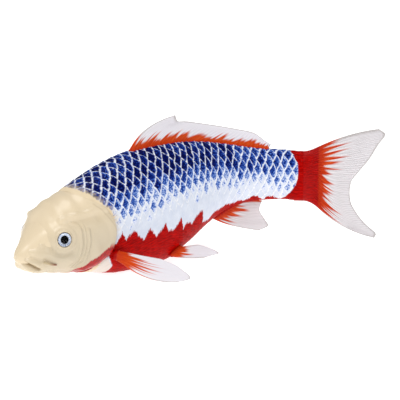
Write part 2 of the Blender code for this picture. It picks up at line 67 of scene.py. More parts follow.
BEND_FROM, BEND_TO, CHORD_TO = 165, 345, 350
NECK_TOP, NECK_SIDE, NECK_THROAT = 53, 80, 54
SHELL_END = 298
FULLEST_AT = 125          # s of the body's fullest section
SNOUT_AT = 0.12           # s where the head's skin starts round the tip of the snout
TAIL_FLEX_AT = (312, 0, 55.75)      # s, side and z of the middle of the tail's flex line
INNER_STEP = 5            # the unseen inner walls have a point for every fifth one of the skin
SMOOTH_UP_TO = 66         # degrees between faces that are still shaded as one surface

# s, back z, belly z, half width, share of the height where it is widest, upper and lower roundness
STATIONS = np.array([
    (0, 29.5, 29.5, 0, 0.42, 2.0, 2.0),
    (3, 36.5, 22, 6.8, 0.42, 2.2, 2.3),
    (10, 45.5, 16.5, 12, 0.44, 2.4, 2.3),
    (22, 57, 13, 20, 0.48, 2.5, 2.2),
    (36, 65, 10.5, 24.8, 0.50, 2.4, 2.1),
    (52, 72, 8, 27, 0.50, 2.15, 2.1),
    (75, 82, 4, 28.5, 0.48, 1.95, 2.2),
    (100, 90.5, -0.5, 29.5, 0.46, 1.9, 2.3),
    (125, 95, -1.5, 30, 0.46, 1.85, 2.3),
    (150, 96, -0.5, 29, 0.46, 1.85, 2.2),
    (175, 95.5, 7.5, 27, 0.47, 1.85, 2.0),
    (200, 93, 20, 24, 0.48, 1.85, 2.0),
    (225, 88.5, 31, 20.5, 0.50, 1.85, 2.0),
    (250, 83.5, 36.5, 17, 0.50, 1.9, 2.0),
    (275, 80, 37, 13.5, 0.50, 2.0, 2.0),
    (300, 78.5, 35, 10, 0.50, 2.0, 2.0),
    (325, 78.5, 35, 4, 0.50, 2.0, 2.0),
])

# Fins: root, middle and tip of the rays, front ray first
DORSAL_BASE = (122, 136, 152, 172, 195, 218, 240, 256, 268)
DORSAL_MIDDLE = [(141, 0, 110.5), (156, 0, 108), (168, 0, 105.5), (186, 0, 103.5), (208, 0, 99),
                 (229, 0, 94.5), (248, 0, 90), (260, 0, 86.4), (268.6, 0, 83)]
DORSAL_TIP = [(174, 0, 118), (177, 0, 112.6), (186, 0, 111.4), (202, 0, 108), (220, 0, 104),
              (239, 0, 99.5), (254, 0, 95.5), (264, 0, 88.4), (270, 0, 84.4)]
CAUDAL_ROOT = [(312, 0, 83.5), (312, 0, 28)]
CAUDAL_MIDDLE = [(338, 0, 94.2), (338, 0, 87.5), (335, 0, 79), (331, 0, 69.5), (327, 0, 61), (325.5, 0, 52.5),
                 (325.5, 0, 44.5), (326.5, 0, 37), (329, 0, 29), (332, 0, 21.5), (334, 0, 16), (334, 0, 13)]
CAUDAL_TIP = [(362, 0, 100), (367.5, 0, 95.5), (361.5, 0, 86), (354.5, 0, 73.8), (345, 0, 61.5), (339, 0, 52.5),
              (338, 0, 44), (339, 0, 36), (344, 0, 26.5), (352, 0, 17), (361.5, 0, 8.6), (360, 0, 5)]
ANAL_ROOT = [(216, 0, 23.8), (240, 0, 35)]
ANAL_MIDDLE = [(235, 0, 15.6), (240, 0, 19), (245, 0, 22.6), (249, 0, 29), (251.5, 0, 36.6)]
ANAL_TIP = [(260, 0, 9.4), (268, 0, 13.6), (264.5, 0, 19.6), (260, 0, 28), (262.5, 0, 35.8)]
PECTORAL_ROOT = [(82, 27.5, 16.5), (79.5, 31.5, 25.5)]
PECTORAL_MIDDLE = [(89, 54, 5.6), (95, 53, 8), (99, 49, 11), (100.5, 43.5, 14.5), (98, 37.5, 19.5)]
PECTORAL_TIP = [(106, 71.5, 2.8), (114.5, 75, 4), (118.5, 68, 6.5), (119, 56, 10.5), (113, 44, 15)]
PELVIC_ROOT = [(147, 21.6, 6.8), (158, 23.2, 13.4)]
PELVIC_MIDDLE = [(158.5, 29.6, 4.6), (164, 30.2, 6), (166.5, 29.4, 8.4), (168, 28, 11), (167.5, 26.2, 13.4)]
PELVIC_TIP = [(172, 35.6, 3.6), (187, 39, 5.6), (185, 35.5, 8), (180, 31, 10.6), (173.5, 27, 13)]

EYE_AT = (30.5, 82)
EYE_RADIUS = 5.3      # of the ring that shows inside the lid
HEAD_THICKNESS = 9    # skin further than this in front of or behind an eye belongs to the head's other side
BARBEL_PATH = [(15.5, 108), (18.5, 113), (22, 118), (26, 122)]

# The scale rows: s against the number of the scale along the flank, and the row spacing along the flank
SCALE_COUNT = [(50, -8.6), (72, -6), (96.5, -3), (120.4, 0), (147.6, 3), (173.2, 6), (206.5, 10), (241, 14),
               (265.5, 17), (288, 20), (300, 21.4)]
ROW_SPACING = [(55, 5), (70, 5.6), (80, 6.2), (90, 6.8), (100, 7.2), (112, 7.7), (150, 7.4), (167, 7.6),
               (185, 8.8), (215, 8.8), (240, 8), (268, 8), (290, 6.8)]
EDGE_CURVE = 1.45     # 1 draws the scales' rear edges as straight-sided points, 2 as round arcs
# How far down the flank the blue reaches and the red belly starts, at s; where the belly paint is left out over
# the breast, at s; and where the cream head paint and the scales stop, at millimetres down from the back
BLUE_REACH = [(60, 34), (75, 46), (90, 54), (125, 57), (160, 54), (172, 51), (185, 48), (205, 46), (225, 43),
              (240, 42), (255, 39), (270, 37), (285, 34), (290, 31), (300, 29)]
RED_REACH = [(40, 110), (45, 78.5), (47, 75), (51, 73), (54, 71.5), (59, 70.5), (63, 68.5), (68, 66.5),
             (72, 65), (76, 59), (80, 68), (85.5, 61), (90, 69), (93, 66), (99.5, 65.5), (103, 71), (109, 76.5),
             (115, 69.5), (123, 78.5), (133, 69.5),
             (136, 76.5), (144, 77), (151.5, 68), (155, 78), (158, 74), (163, 74), (167, 76), (172, 69.5),
             (180, 65), (184, 77), (190, 76.5), (195, 75), (201, 68), (208, 66.5), (218, 61), (227, 60),
             (236, 56), (242, 57), (249, 49.5), (254, 49), (262, 54), (264, 48.5), (269, 47), (276, 50),
             (280, 49), (283, 45), (286, 41), (289, 36), (292, 31), (293, 26), (294, 0)]
BREAST_BARE = [(44, 130), (60, 92), (63.7, 86.7), (66, 82.9), (68.8, 74.5), (75.3, 76.5), (83, 90), (85, 140)]
CREAM_REACH = [(0, 58), (10, 59.5), (17, 63), (24, 67), (31, 71), (37, 76), (45, 79.5), (52, 80), (58, 79),
               (66, 74), (200, 40)]
SCALES_END = [(0, 286), (3, 287), (9, 290), (15, 293), (22, 293.5), (30, 292), (38, 288), (44, 283), (60, 270)]

# Lines over the head, as (s, degrees round from the back)
MOUTH_LINE = [(0.3, 100), (1.6, 110), (4.5, 112), (8.8, 121), (12, 130), (15, 138)]
LIP_SHADE_LINE = [(1.5, 119), (4.5, 118), (9.5, 128), (14, 139)]
NOSTRIL_LINE = [(16.4, 68), (17.4, 70)]
CHIN_LINE = [(20, 150), (30, 146), (40, 150)]
GILL_LINE = [(62, 50), (65, 58), (72.5, 74), (77.8, 86), (79.5, 94), (79, 104), (75.3, 114), (70.8, 123), (66.3, 130),
             (61.3, 144), (56.8, 154), (50, 166)]
# How far the head stands out (+) or goes in (-) on a line, and how far that reaches to each side of it
HEAD_RELIEF = [
    (0.8, 5, [(62, 53), (69, 68), (74.5, 82), (76, 94), (75, 106), (70, 117), (63, 130), (56, 146)]),  # gill cover
    (1.4, 3.8, [(31, 47), (38, 50), (50.5, 56), (64.8, 60), (72, 63)]),   # brow
    (-1.2, 6, [(38, 60), (50.5, 64), (62, 68)]),                          # hollow under the brow
    (-0.8, 5, [(18, 82), (21, 86), (30, 103), (38, 106)]),                # hollow before and under the eye
    (0.7, 7, [(12, 88), (20, 97), (30, 112), (40, 118)]),                 # cheek
    (-0.7, 2.4, [(1.5, 124), (4.5, 121), (9.5, 132)]),                    # between the lips
    (1.1, 3.2, [(0.8, 82), (1.6, 98), (4, 95), (9, 106), (13, 117)]),     # upper lip
    (0.9, 3, [(1.0, 140), (3.4, 146), (7, 146), (12, 150)]),              # lower lip
    (-0.6, 2.6, [(5, 80), (9, 90), (13, 100), (17, 108)]),                # fold over the upper lip
    (0.5, 4, [(7, 68), (8.5, 74)]),                                       # bump of the snout
    (0.4, 4.5, [(14.4, 50), (16.5, 55)]),                                 # bump over the nostril
    (0.5, 1.6, [(13.6, 68), (14.6, 74)]),                                 # flap before the nostril
]
# Folds of the cheek behind the eye, each with a groove 2 mm behind it: height, reach and line
CHEEK_FOLDS = [(0.45, 2.0, [(44.3, 76), (45.5, 96), (43.8, 117), (39, 132)]),
               (0.35, 1.7, [(47.5, 72), (49.2, 96), (47.5, 119), (42, 138)]),
               (0.5, 2.0, [(51.8, 80), (52.5, 100), (50.8, 123), (44.3, 140)]),
               (0.35, 1.8, [(56, 128), (50, 141), (43, 150)]),
               (0.4, 2.4, [(38, 60), (43, 68), (44.3, 76)])]


# The curved mid-plane and the skin

def ease(t):
    t = np.clip(t, 0, 1)
    return t * t * (3 - 2 * t)


def between(points, at):
    """Straight lines through (x, y) points, read at the places `at`."""
    x, y = np.array(points, float).T
    return np.interp(at, x, y)


def through(x, y, at):
    """A smooth curve through the points (x, y) that never overshoots them, read at the places `at`."""
    x, y = np.asarray(x, float), np.asarray(y, float)
    step = np.diff(x)
    slope = np.diff(y) / step
    tangent = np.concatenate([[slope[0]], np.zeros(len(x) - 2), [slope[-1]]])
    rising = slope[:-1] * slope[1:] > 0
    before, after = 2 * step[1:] + step[:-1], step[1:] + 2 * step[:-1]
    inner = np.where(rising, slope[:-1] * slope[1:], 0)
    weight = before * slope[1:] + after * slope[:-1]
    tangent[1:-1] = np.where(rising, (before + after) * inner / np.where(rising, weight, 1), 0)
    k = np.clip(np.searchsorted(x, at, side="right") - 1, 0, len(step) - 1)
    t = (np.asarray(at, float) - x[k]) / step[k]
    h = step[k]
    return (y[k] * (1 + 2 * t) * (1 - t) ** 2 + y[k + 1] * t * t * (3 - 2 * t)
            + tangent[k] * h * t * (1 - t) ** 2 - tangent[k + 1] * h * t * t * (1 - t))


def spine():
    """s, x, y and heading of the mid-plane, which starts at the snout, with its chord along +X."""
    s = np.arange(-10, 400, 0.5)
    heading = -math.radians(TAIL_BEND) * ease((s - BEND_FROM) / (BEND_TO - BEND_FROM))

    def run(angle):
        steps = np.stack([np.cos(angle), np.sin(angle)])
        line = np.cumsum(0.5 * (steps[:, 1:] + steps[:, :-1]) * np.diff(s), axis=1)
        line = np.concatenate([np.zeros((2, 1)), line], axis=1)
        return [row - np.interp(0, s, row) for row in line]

    x, y = run(heading)
    heading = heading - math.atan2(np.interp(CHORD_TO, s, y), np.interp(CHORD_TO, s, x))
    x, y = run(heading)
    return s, x, y, heading


SPINE = spine()


def place(s, side, z, shift=(0, 0, 0)):
    """Points, in metres, of places on the figure given in millimetres."""
    s, side, z = np.broadcast_arrays(*(np.asarray(v, float) for v in (s, side, z)))
    table, x, y, heading = SPINE
    turn = np.interp(s, table, heading)
    return np.stack([np.interp(s, table, x) + np.sin(turn) * side,
                     np.interp(s, table, y) - np.cos(turn) * side, z], -1) * MM + shift


JOINTS = {joint["name"]: joint for joint in frame["joints"]}
SHIFT = np.array(JOINTS["caudal_flex"]["pos_m"]) - place(*TAIL_FLEX_AT)


def at(s, side, z):
    return place(s, side, z, SHIFT)


def section(s, angle):
    """side and z of the skin at angles round the body: 0 is the back, pi the belly, negative the right."""
    share = np.sqrt(np.clip(s, 0, None))
    known = np.sqrt(STATIONS[:, 0])
    top, bottom, half, widest, above, below = (through(known, STATIONS[:, k], share) for k in range(1, 7))
    middle = bottom + widest * (top - bottom)
    sine, cosine = np.sin(angle), np.cos(angle)
    power = 2 / np.where(cosine >= 0, above, below)
    side = half * np.abs(sine) ** power * np.sign(sine)
    z = middle + np.where(cosine >= 0, top - middle, bottom - middle) * np.abs(cosine) ** power
    return side, np.maximum(z, 0)


def skin(s, angle, depth=0.0):
    """Points at a depth under the skin, in millimetres, measured square to it."""
    s, angle = np.broadcast_arrays(np.asarray(s, float), np.asarray(angle, float))
    ds, da = 0.05, 0.004
    along = at(s + ds, *section(s + ds, angle)) - at(s - ds, *section(s - ds, angle))
    round_it = at(s, *section(s, angle + da)) - at(s, *section(s, angle - da))
    inward = np.cross(along, round_it)
    inward /= np.linalg.norm(inward, axis=-1, keepdims=True)
    return at(s, *section(s, angle)) + inward * (np.asarray(depth) * MM)[..., None]


def neck(angle):
    """s of the seam behind the head, which follows the gill cover's rear edge."""
    lift = np.abs(np.sin(angle))
    return np.where(np.abs(angle) < math.pi / 2, NECK_TOP + (NECK_SIDE - NECK_TOP) * lift ** 2.8,
                    NECK_THROAT + (NECK_SIDE - NECK_THROAT) * lift ** 2)


DOWN_ANGLE = np.linspace(0, math.pi, 721)
DOWN_S = np.arange(0, 327.0)


def down_table():
    side, z = section(DOWN_S[:, None], DOWN_ANGLE[None, :])
    steps = np.hypot(np.diff(side), np.diff(z))
    return np.concatenate([np.zeros((len(DOWN_S), 1)), np.cumsum(steps, axis=1)], axis=1)


DOWN = down_table()


def down(s, angle):
    """How far round the skin a place is from the back, in millimetres."""
    row = np.clip(s, 0, len(DOWN_S) - 1.001)
    column = np.clip(np.abs(angle) / math.pi * (len(DOWN_ANGLE) - 1), 0, len(DOWN_ANGLE) - 1.001)
    i, j = row.astype(int), column.astype(int)
    a, b = row - i, column - j
    return ((1 - a) * ((1 - b) * DOWN[i, j] + b * DOWN[i, j + 1])
            + a * ((1 - b) * DOWN[i + 1, j] + b * DOWN[i + 1, j + 1]))


def even_angles(s, count):
    """Angles from the back to the belly at even steps round the skin."""
    return np.interp(np.linspace(0, 1, count) * DOWN[s, -1], DOWN[s], DOWN_ANGLE)


# Mesh making

def make_piece(name, points, faces, finish, marks=None):
    """A closed mesh with its material and named values (marks) at its points."""
    mesh = bpy.data.meshes.new(name)
    mesh.from_pydata(np.asarray(points).tolist(), [], faces)
    for mark, values in (marks or {}).items():
        values = np.asarray(values, np.float32)
        kind, field = ("FLOAT_VECTOR", "vector") if values.ndim > 1 else ("FLOAT", "value")
        mesh.attributes.new(mark, kind, "POINT").data.foreach_set(field, values.ravel())
    tidy = bmesh.new()
    tidy.from_mesh(mesh)
    bmesh.ops.delete(tidy, geom=[v for v in tidy.verts if not v.link_faces], context="VERTS")
    bmesh.ops.recalc_face_normals(tidy, faces=tidy.faces)
    if tidy.calc_volume(signed=True) < 0:
        bmesh.ops.reverse_faces(tidy, faces=tidy.faces)
    tidy.to_mesh(mesh)
    tidy.free()
    mesh.materials.append(finish)
    mesh.shade_smooth()
    mesh.set_sharp_from_angle(angle=math.radians(SMOOTH_UP_TO))
    obj = bpy.data.objects.new(name, mesh)
    bpy.context.scene.collection.objects.link(obj)
    return obj


def quads(index):
    """Faces over a grid of point numbers, leaving out corners that are the same point."""
    corners = np.stack([index[:-1, :-1], index[:-1, 1:], index[1:, 1:], index[1:, :-1]], -1).reshape(-1, 4)
    return [tuple(dict.fromkeys(face)) for face in corners.tolist()]


def rim(fine, coarse):
    """Faces that join the skin's fine edge to the inner wall's coarse one."""
    fine, coarse = list(fine), list(coarse)
    return [tuple(fine[k * INNER_STEP:(k + 1) * INNER_STEP + 1]) + (coarse[k + 1], coarse[k])
            for k in range(len(coarse) - 1)]


def near_line(points, line, width):
    """1 on a line of (s, angle) places on the head, falling smoothly to 0 at `width` millimetres from it."""
    knots = np.array(line, float)
    share = np.linspace(0, len(knots) - 1, 12 * (len(knots) - 1) + 1)
    s, angle = (through(np.arange(len(knots)), column, share) for column in knots.T)
    ends = skin(s, np.radians(angle)) / MM
    flat, best = points.reshape(-1, 3), None
    for start, end in zip(ends[:-1], ends[1:]):
        run = end - start
        along = np.clip((flat - start) @ run / (run @ run), 0, 1)
        gap = np.linalg.norm(flat - start - along[:, None] * run, axis=1)
        best = gap if best is None else np.minimum(best, gap)
    return ease(1 - best / width).reshape(points.shape[:-1])


# The scaled skin

def scales(s, v):
    """The scale pattern at places on the flank.

    Returns how far a place is from the front to the rear edge of its scale (0 to 1), its distance from that
    rear edge in millimetres, whether it is on the lower half of the scale, and a chance number for the scale.
    """
    s, v = s + 0.55 * wander(s, v, 12, 15), v + 0.45 * wander(s, v, 13, 17)
    number = between(SCALE_COUNT, s)
    pitch = 1 / np.interp(s, *pitch_table())
    spacing = between(ROW_SPACING, s)
    row = -5 + 3 * ease((s - 125) / 80) + v / spacing
    low = np.floor(row)
    ahead, slope, who = [], [], []
    for j in (low, low + 1):
        away = np.abs(row - j)
        phase = number - 0.5 * (j % 2)
        edge = 0.5 - 0.5 * away ** EDGE_CURVE
        ahead.append((edge - phase) % 1)
        slope.append(0.5 * EDGE_CURVE * away ** (EDGE_CURVE - 1))
        who.append((np.round(phase + ahead[-1] - edge), j))
    first = ahead[0] < ahead[1]
    to_rear = np.where(first, ahead[0], ahead[1])
    from_front = np.minimum(1 - ahead[0], 1 - ahead[1])
    steep = np.where(first, slope[0], slope[1])
    gap = to_rear * pitch / np.sqrt(1 + (steep * pitch / spacing) ** 2)
    cell, line = (np.where(first, who[0][k], who[1][k]) for k in (0, 1))
    chance = np.abs(np.sin(cell * 12.9898 + line * 78.233) * 43758.5453) % 1
    return from_front / (from_front + to_rear + 1e-6), gap, first, chance


def pitch_table():
    """Scales to the millimetre along the flank, at the middle of each stretch of SCALE_COUNT."""
    s, number = np.array(SCALE_COUNT, float).T
    middle = (s[1:] + s[:-1]) / 2
    return middle, np.diff(number) / np.diff(s)


def wander(x, y, seed, size):
    """A smooth irregular wave from -1 to 1 over millimetres, for edges done by hand."""
    total = np.zeros(np.broadcast(x, y).shape)
    rng = np.random.default_rng(seed)
    for _ in range(5):
        turn, phase, grow = rng.uniform(0, 2 * math.pi), rng.uniform(0, 2 * math.pi), rng.uniform(0.7, 1.9)
        total = total + np.sin((x * math.cos(turn) + y * math.sin(turn)) * 2 * math.pi / size * grow + phase)
    return total / 3


def red_paint(s, v):
    """Where the vermilion belly paint is, from 0 to 1, with its flame-like upper edge."""
    low = v - between(RED_REACH, s) - 1.0 * wander(s * 1.6, v * 0.5, 3, 3.0)
    low = low + 2.6 * (np.abs((s + 0.45 * v) / 4.7 % 1 - 0.5) - 0.25)
    bare = v - between(BREAST_BARE, s) + 0.6 * wander(s, v, 4, 3)
    red = ease(0.5 + low / 0.9) * ease(0.5 - bare / 0.9)
    tail = s - between(SCALES_END, v) + 1.1 * np.abs(np.sin(v * math.pi / 6.6)) - 0.8
    return np.maximum(red, ease(0.5 + tail / 0.7)) * (s > 42)


def blue_paint(s, v, chance, gap):
    """How deep the blue is, from 0 to 1: navy on the back, fading out down the flank."""
    reach = between(BLUE_REACH, s)
    reach = reach + 3.5 * (chance - 0.5) + 1.5 * wander(s, v, 6, 7)
    depth = np.clip((reach + 6 - v) / (0.6 * reach), 0, 1) * (1 - 0.26 * ease((s - 200) / 70))
    pale_rim = ease(1 - gap / 4.2)
    return np.clip(depth - (0.27 + 0.3 * (1 - depth)) * pale_rim + 0.32 * (chance - 0.6) * (depth > 0), 0, 1)


def body_skin(sign, side, finish):
    """Half of the scaled casting, with every scale raised towards its rear edge."""
    rows, columns = 526, 256
    angle = sign * even_angles(FULLEST_AT, columns)[None, :]
    start = neck(angle) + 0.1
    share = np.linspace(0, 1, rows)[:, None]
    s = start + share * (SHELL_END - start)
    v = down(s, angle)
    rise, gap, lower, chance = scales(s, v)
    red = red_paint(s, v)
    past = between(CREAM_REACH, v) - s + 0.7 * wander(s, v, 7, 4)
    haze = 0.45 * ease((past + 6 + 2 * wander(s, v, 14, 5)) / 7)
    # Over the bare breast the cream is partly its own greyish cream and partly painted shade under the throat.
    breast_cream_and_shade = 0.55 * ease((v - between(BREAST_BARE, s)) / 3)
    cream = np.maximum(np.maximum(ease(0.5 + past / 1.4), haze), breast_cream_and_shade) * (1 - red)
    over_belly = ease((v - between(RED_REACH, s) + 4) / 8)
    smooth_flank = ease((v - between(BLUE_REACH, s) - 2) / 6) * (1 - ease((s - 190) / 50))
    raised = (1 - 0.8 * over_belly) * (1 - 0.85 * cream) * (1 - 0.75 * ease((s - between(SCALES_END, v)) / 2))
    raised = raised * (1 - 0.6 * ease((72 - s) / 12)) * (1 - 0.6 * smooth_flank)
    crown = 0.62 * rise ** 0.7 * ease(gap / 0.5)
    lift = raised * (crown - 0.25) + 0.25 * (s < between(SCALES_END, v))
    under_gill = ease((np.degrees(np.abs(angle)) - 60) / 22)
    since = s - start
    lift = lift * ease(since / 3) - (0.05 + 1.5 * under_gill) * ease(1 - since / (1 + 4 * under_gill))
    strokes = wander(s * 0.35, v, 8, 2.4) + 0.6 * wander(s, v * 0.5, 9, 3.2)
    lift = lift + 0.1 * strokes * np.maximum(red, over_belly) * ease(since / 3)
    line = np.where(lower, 1.25, 0.8) + 0.45 * wander(s, v, 10, 4)
    blue = blue_paint(s, v, chance, gap)
    outline = ease((line - gap) / 0.55 + 0.5) * (1 - red) * (1 - cream) * (1 - 0.85 * smooth_flank)
    outer = skin(s, angle, -lift)
    every = np.s_[::INNER_STEP, ::INNER_STEP]
    inner_s = s[every]
    inner = skin(inner_s, np.broadcast_to(angle, s.shape)[every], WALL)
    top = np.arange(s.size).reshape(s.shape)
    under = s.size + np.arange(inner_s.size).reshape(inner_s.shape)
    faces = quads(top) + quads(under)
    for edge in (np.s_[0, :], np.s_[-1, :], np.s_[:, 0], np.s_[:, -1]):
        faces += rim(top[edge], under[edge])
    marks = {"outline": outline, "blue_depth": blue, "red_paint": red, "cream_paint_and_breast_shade": cream}
    filler = np.zeros(inner_s.size)
    marks = {name: np.concatenate([value.ravel(), filler]) for name, value in marks.items()}
    lay = np.stack([s, v * sign, np.zeros_like(s)], -1) * MM
    marks["lay"] = np.concatenate([lay.reshape(-1, 3), np.zeros((inner_s.size, 3))])
    points = np.concatenate([outer.reshape(-1, 3), inner.reshape(-1, 3)])
    piece = make_piece(f"body_skin_{side}", points, faces, finish, marks)
    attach(piece, "figure")
    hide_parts(f"body_shell_{side}")


# The head

def mirrored_line(points, line, width):
    return np.maximum(near_line(points, line, width), near_line(points, [(s, -a) for s, a in line], width))


def eye_distance(points):
    """How far places on the head, in millimetres, are from the line that the nearest eye looks along."""
    gap = np.full(points.shape[:-1], 99.0)
    for sign in (1, -1):
        centre, out = eye_seat(sign)
        away = points - centre / MM
        flat = away - (away @ out)[..., None] * out
        near = np.abs(away @ out) < HEAD_THICKNESS
        gap = np.where(near, np.minimum(gap, np.linalg.norm(flat, axis=-1)), gap)
    return gap


def round_sockets(points, inside):
    """Draws the points along the edges of the eye sockets, inside and outside them, onto true circles."""
    for sign in (1, -1):
        centre, out = eye_seat(sign)
        away = points - centre
        depth = away @ out
        flat = away - depth[..., None] * out
        reach = np.linalg.norm(flat, axis=-1) / MM
        band = (np.abs(reach - EYE_RADIUS - 0.25) < 0.3) & (np.abs(depth) < HEAD_THICKNESS * MM)
        aim = np.where(inside, EYE_RADIUS + 0.15, EYE_RADIUS + 0.3)
        moved = centre + flat * (aim / np.maximum(reach, 1e-6))[..., None] + depth[..., None] * out
        points = np.where(band[..., None], moved, points)
    return points


def head_skin(finish):
    """The lacquered head casting: lips, nostrils, brows, cheeks, gill covers and eye sockets."""
    rows, half = 196, 226
    angle = even_angles(40, half)
    angle = np.concatenate([angle, -angle[-2:0:-1]])[None, :]
    share = np.linspace(0, 1, rows)[:, None] ** 1.25
    s = SNOUT_AT + share * (neck(angle) - SNOUT_AT)
    base = skin(s, angle) / MM
    degrees = np.degrees(np.abs(angle)) + 0 * s

    def on(line, width):
        return mirrored_line(base, line, width)

    lip_groove, nostril, chin_line = on(MOUTH_LINE, 2.1), on(NOSTRIL_LINE, 1.1), on(CHIN_LINE, 2)
    cover = ease((s - 46) / 20) * ease((degrees - 58) / 26) * ease((158 - degrees) / 26)
    lift = 1.1 * cover - 1.5 * lip_groove - 1.9 * nostril - 0.4 * chin_line
    for height, width, line in HEAD_RELIEF:
        lift += height * on(line, width)
    for height, width, line in CHEEK_FOLDS:
        behind = [(line_s + 2, line_angle) for line_s, line_angle in line]
        lift += 1.5 * height * on(line, width) - 0.9 * height * on(behind, width)
    lift += 0.45 * wander(base[..., 0], base[..., 2], 11, 22) * ease(s / 10)

    # Eyelid, the soft swelling round it and the hollow round that
    eye_gap = eye_distance(base)
    lift += 0.95 * ease(1 - np.abs(eye_gap - EYE_RADIUS - 0.9) / 1.4) + 0.3 * ease(1 - np.abs(eye_gap - 8.8) / 2.6)
    lift -= 0.5 * ease(1 - np.abs(eye_gap - 12) / 3) * ease((degrees - 60) / 20)
    # Snout tip and forehead are drawn in, and the crown is full.
    lift = lift * (0.3 + 0.7 * ease(s / 6)) - 2.2 * ease(1 - s / 8)
    lift += 1.5 * ease(1 - np.abs(s - 40) / 14) * ease(1 - degrees / 60)
    lift -= 3.6 * ease(1 - np.abs(s - 12) / 19) * ease(1.5 - degrees / 90)
    socket = eye_gap < EYE_RADIUS + 0.28
    lift = np.where(socket, -2.1, lift)
    to_rim = neck(angle) - s
    turned_in = ease((degrees - 60) / 22)
    lift = lift * (1 - turned_in * ease(1 - to_rim / 1.2) * 0.4)
    lift = lift - (0.04 + 1.6 * turned_in) * ease(1 - to_rim / 1.3) ** 2
    points = round_sockets(skin(s, angle, -lift), socket)

    v = down(s, angle + 0 * s)
    red = ease(0.5 + (v - between(RED_REACH, s) - 0.8 * wander(s * 1.6, v, 3, 3.0)) / 0.9)
    red = red * ease((degrees - 100) / 8)
    # Painted shade, brown: in the lip groove, the nostril, under the upper lip, along the gill cover's edge and round
    # the eye's rim.
    line_shade = (0.5 * lip_groove + 0.45 * nostril + 0.4 * on(LIP_SHADE_LINE, 3.4) + 0.2 * on(GILL_LINE, 1.0)
                  + 0.75 * ease(1 - np.abs(eye_gap - EYE_RADIUS - 0.15) / 0.7))
    # Painted shade: the cream darkens towards the head's lower side, in the grooves behind two cheek folds and along
    # the chin.
    painted_shade = (0.9 * ease((degrees - 35) / 80) * (0.3 + 0.7 * ease((s - 2) / 24))
            + 0.4 * on([(46.3, 76), (47.5, 96), (45.8, 117)], 1.2)
            + 0.4 * on([(53.8, 80), (54.5, 100), (52.8, 123), (46, 140)], 1.2) + 0.2 * chin_line)
    every = np.s_[::INNER_STEP, ::INNER_STEP]
    inner_s = s[every]
    inner = skin(inner_s, np.broadcast_to(angle, s.shape)[every], np.minimum(WALL, 0.8 + 0.25 * inner_s))
    count = s.size
    top = np.arange(count).reshape(s.shape)
    under = count + np.arange(inner_s.size).reshape(inner_s.shape)
    around, around_in = np.c_[top, top[:, 0]], np.c_[under, under[:, 0]]
    faces = quads(around) + quads(around_in) + rim(around[-1], around_in[-1])
    tips = [count + inner_s.size, count + inner_s.size + 1]
    for ring, tip in ((around[0], tips[0]), (around_in[0], tips[1])):
        faces += [(int(a), int(b), tip) for a, b in zip(ring[:-1], ring[1:])]
    front = points[0].mean(0) - np.array([0.25 * MM, 0, 0])
    cloud = np.concatenate([points.reshape(-1, 3), inner.reshape(-1, 3), [front, inner[0].mean(0)]])
    filler = np.zeros(inner_s.size + 2)
    marks = {"red_paint": red, "line_shade": np.clip(line_shade, 0, 1), "painted_shade": np.clip(painted_shade, 0, 1)}
    marks = {name: np.concatenate([value.ravel(), filler]) for name, value in marks.items()}
    lay = np.stack([s, v * np.sign(angle + 1e-9), np.zeros_like(s)], -1) * MM
    marks["lay"] = np.concatenate([lay.reshape(-1, 3), np.zeros((len(filler), 3))])
    piece = make_piece("head_skin", cloud, faces, finish, marks)
    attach(piece, "figure")
    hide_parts("head_shell")


def eye_seat(sign):
    """Centre of an eye on the skin and the way it looks out."""
    centre, inside = (skin(EYE_AT[0], sign * math.radians(EYE_AT[1]), depth) for depth in (0.0, 1.0))
    out = centre - inside
    return centre, out / np.linalg.norm(out)


def turned(name, profile, centre, out, finish, wave=None):
    """A piece turned about the way an eye looks out; the profile is (radius, height) pairs, closed."""
    steps = 96
    profile = np.array(profile, float)
    side = np.cross(out, (0, 0, 1.0))
    side /= np.linalg.norm(side)
    up = np.cross(side, out)
    turn = np.linspace(0, 2 * math.pi, steps, endpoint=False)[:, None]
    radius, height = profile[:, 0][None, :], profile[:, 1][None, :] + np.zeros_like(turn)
    if wave is not None:
        height = height + wave(radius, turn)
    points = centre + MM * (radius[..., None] * (np.cos(turn)[..., None] * side + np.sin(turn)[..., None] * up)
                            + height[..., None] * out)
    index = np.arange(points[..., 0].size).reshape(points.shape[:2])
    index[:, radius[0] < 1e-6] = index[0, radius[0] < 1e-6]
    index = np.r_[index, index[:1]]
    faces = [face for face in quads(index) if len(face) > 2]
    if radius[0, 0] > 1e-6:
        ring = np.c_[index[:, -1], index[:, 0]]
        faces += quads(ring)
    return make_piece(name, points.reshape(-1, 3), faces, finish,
                      {"ring": np.broadcast_to(radius, points.shape[:2]).ravel(),
                       "turn": np.broadcast_to(turn, points.shape[:2]).ravel()})


def eye(side, sign, silver, black, clear):
    """Silvered cup with a finely rayed iris, black pupil disc and clear dome."""
    centre, out = eye_seat(sign)

    def spokes(radius, turn):
        fade = ease((4.8 - radius) / 0.6) * ease((radius - 3.1) / 0.4)
        return 0.09 * np.sin(turn * 46 + 2 * np.sin(radius * 2)) * fade

    iris = [(4.9 - 0.18 * k, 0.35 - 0.03 * k) for k in range(10)]
    cup = turned(f"{side}_eye_ring", [(4.95, 0.75), (5.15, 0.7), (5.3, 0.4), (5.3, -1.9), (0, -1.9), (0, 0.0),
                                      (3.2, 0.05)] + iris[::-1], centre, out, silver, wave=spokes)
    pupil = turned(f"{side}_eye_disc", [(0, 0.6), (1.6, 0.57), (2.6, 0.48), (3.1, 0.36), (3.25, 0.22), (3.25, 0.1),
                                        (0, 0.1)], centre, out, black)
    dome = [(4.9 * math.sin(a), 0.5 + 2.1 * math.cos(a)) for a in np.radians(np.linspace(0, 90, 16))]
    under = [(4.6 * math.sin(a), 0.45 + 1.8 * math.cos(a)) for a in np.radians(np.linspace(90, 0, 12))]
    lens = turned(f"{side}_eye_dome", dome + under, centre, out, clear)
    for piece, node, slot in ((cup, "cup", "eye_silver"), (pupil, "pupil", "eye_black"), (lens, "lens", "eye_clear")):
        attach(piece, "figure")
        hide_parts(f"{side}_eye_{node}")


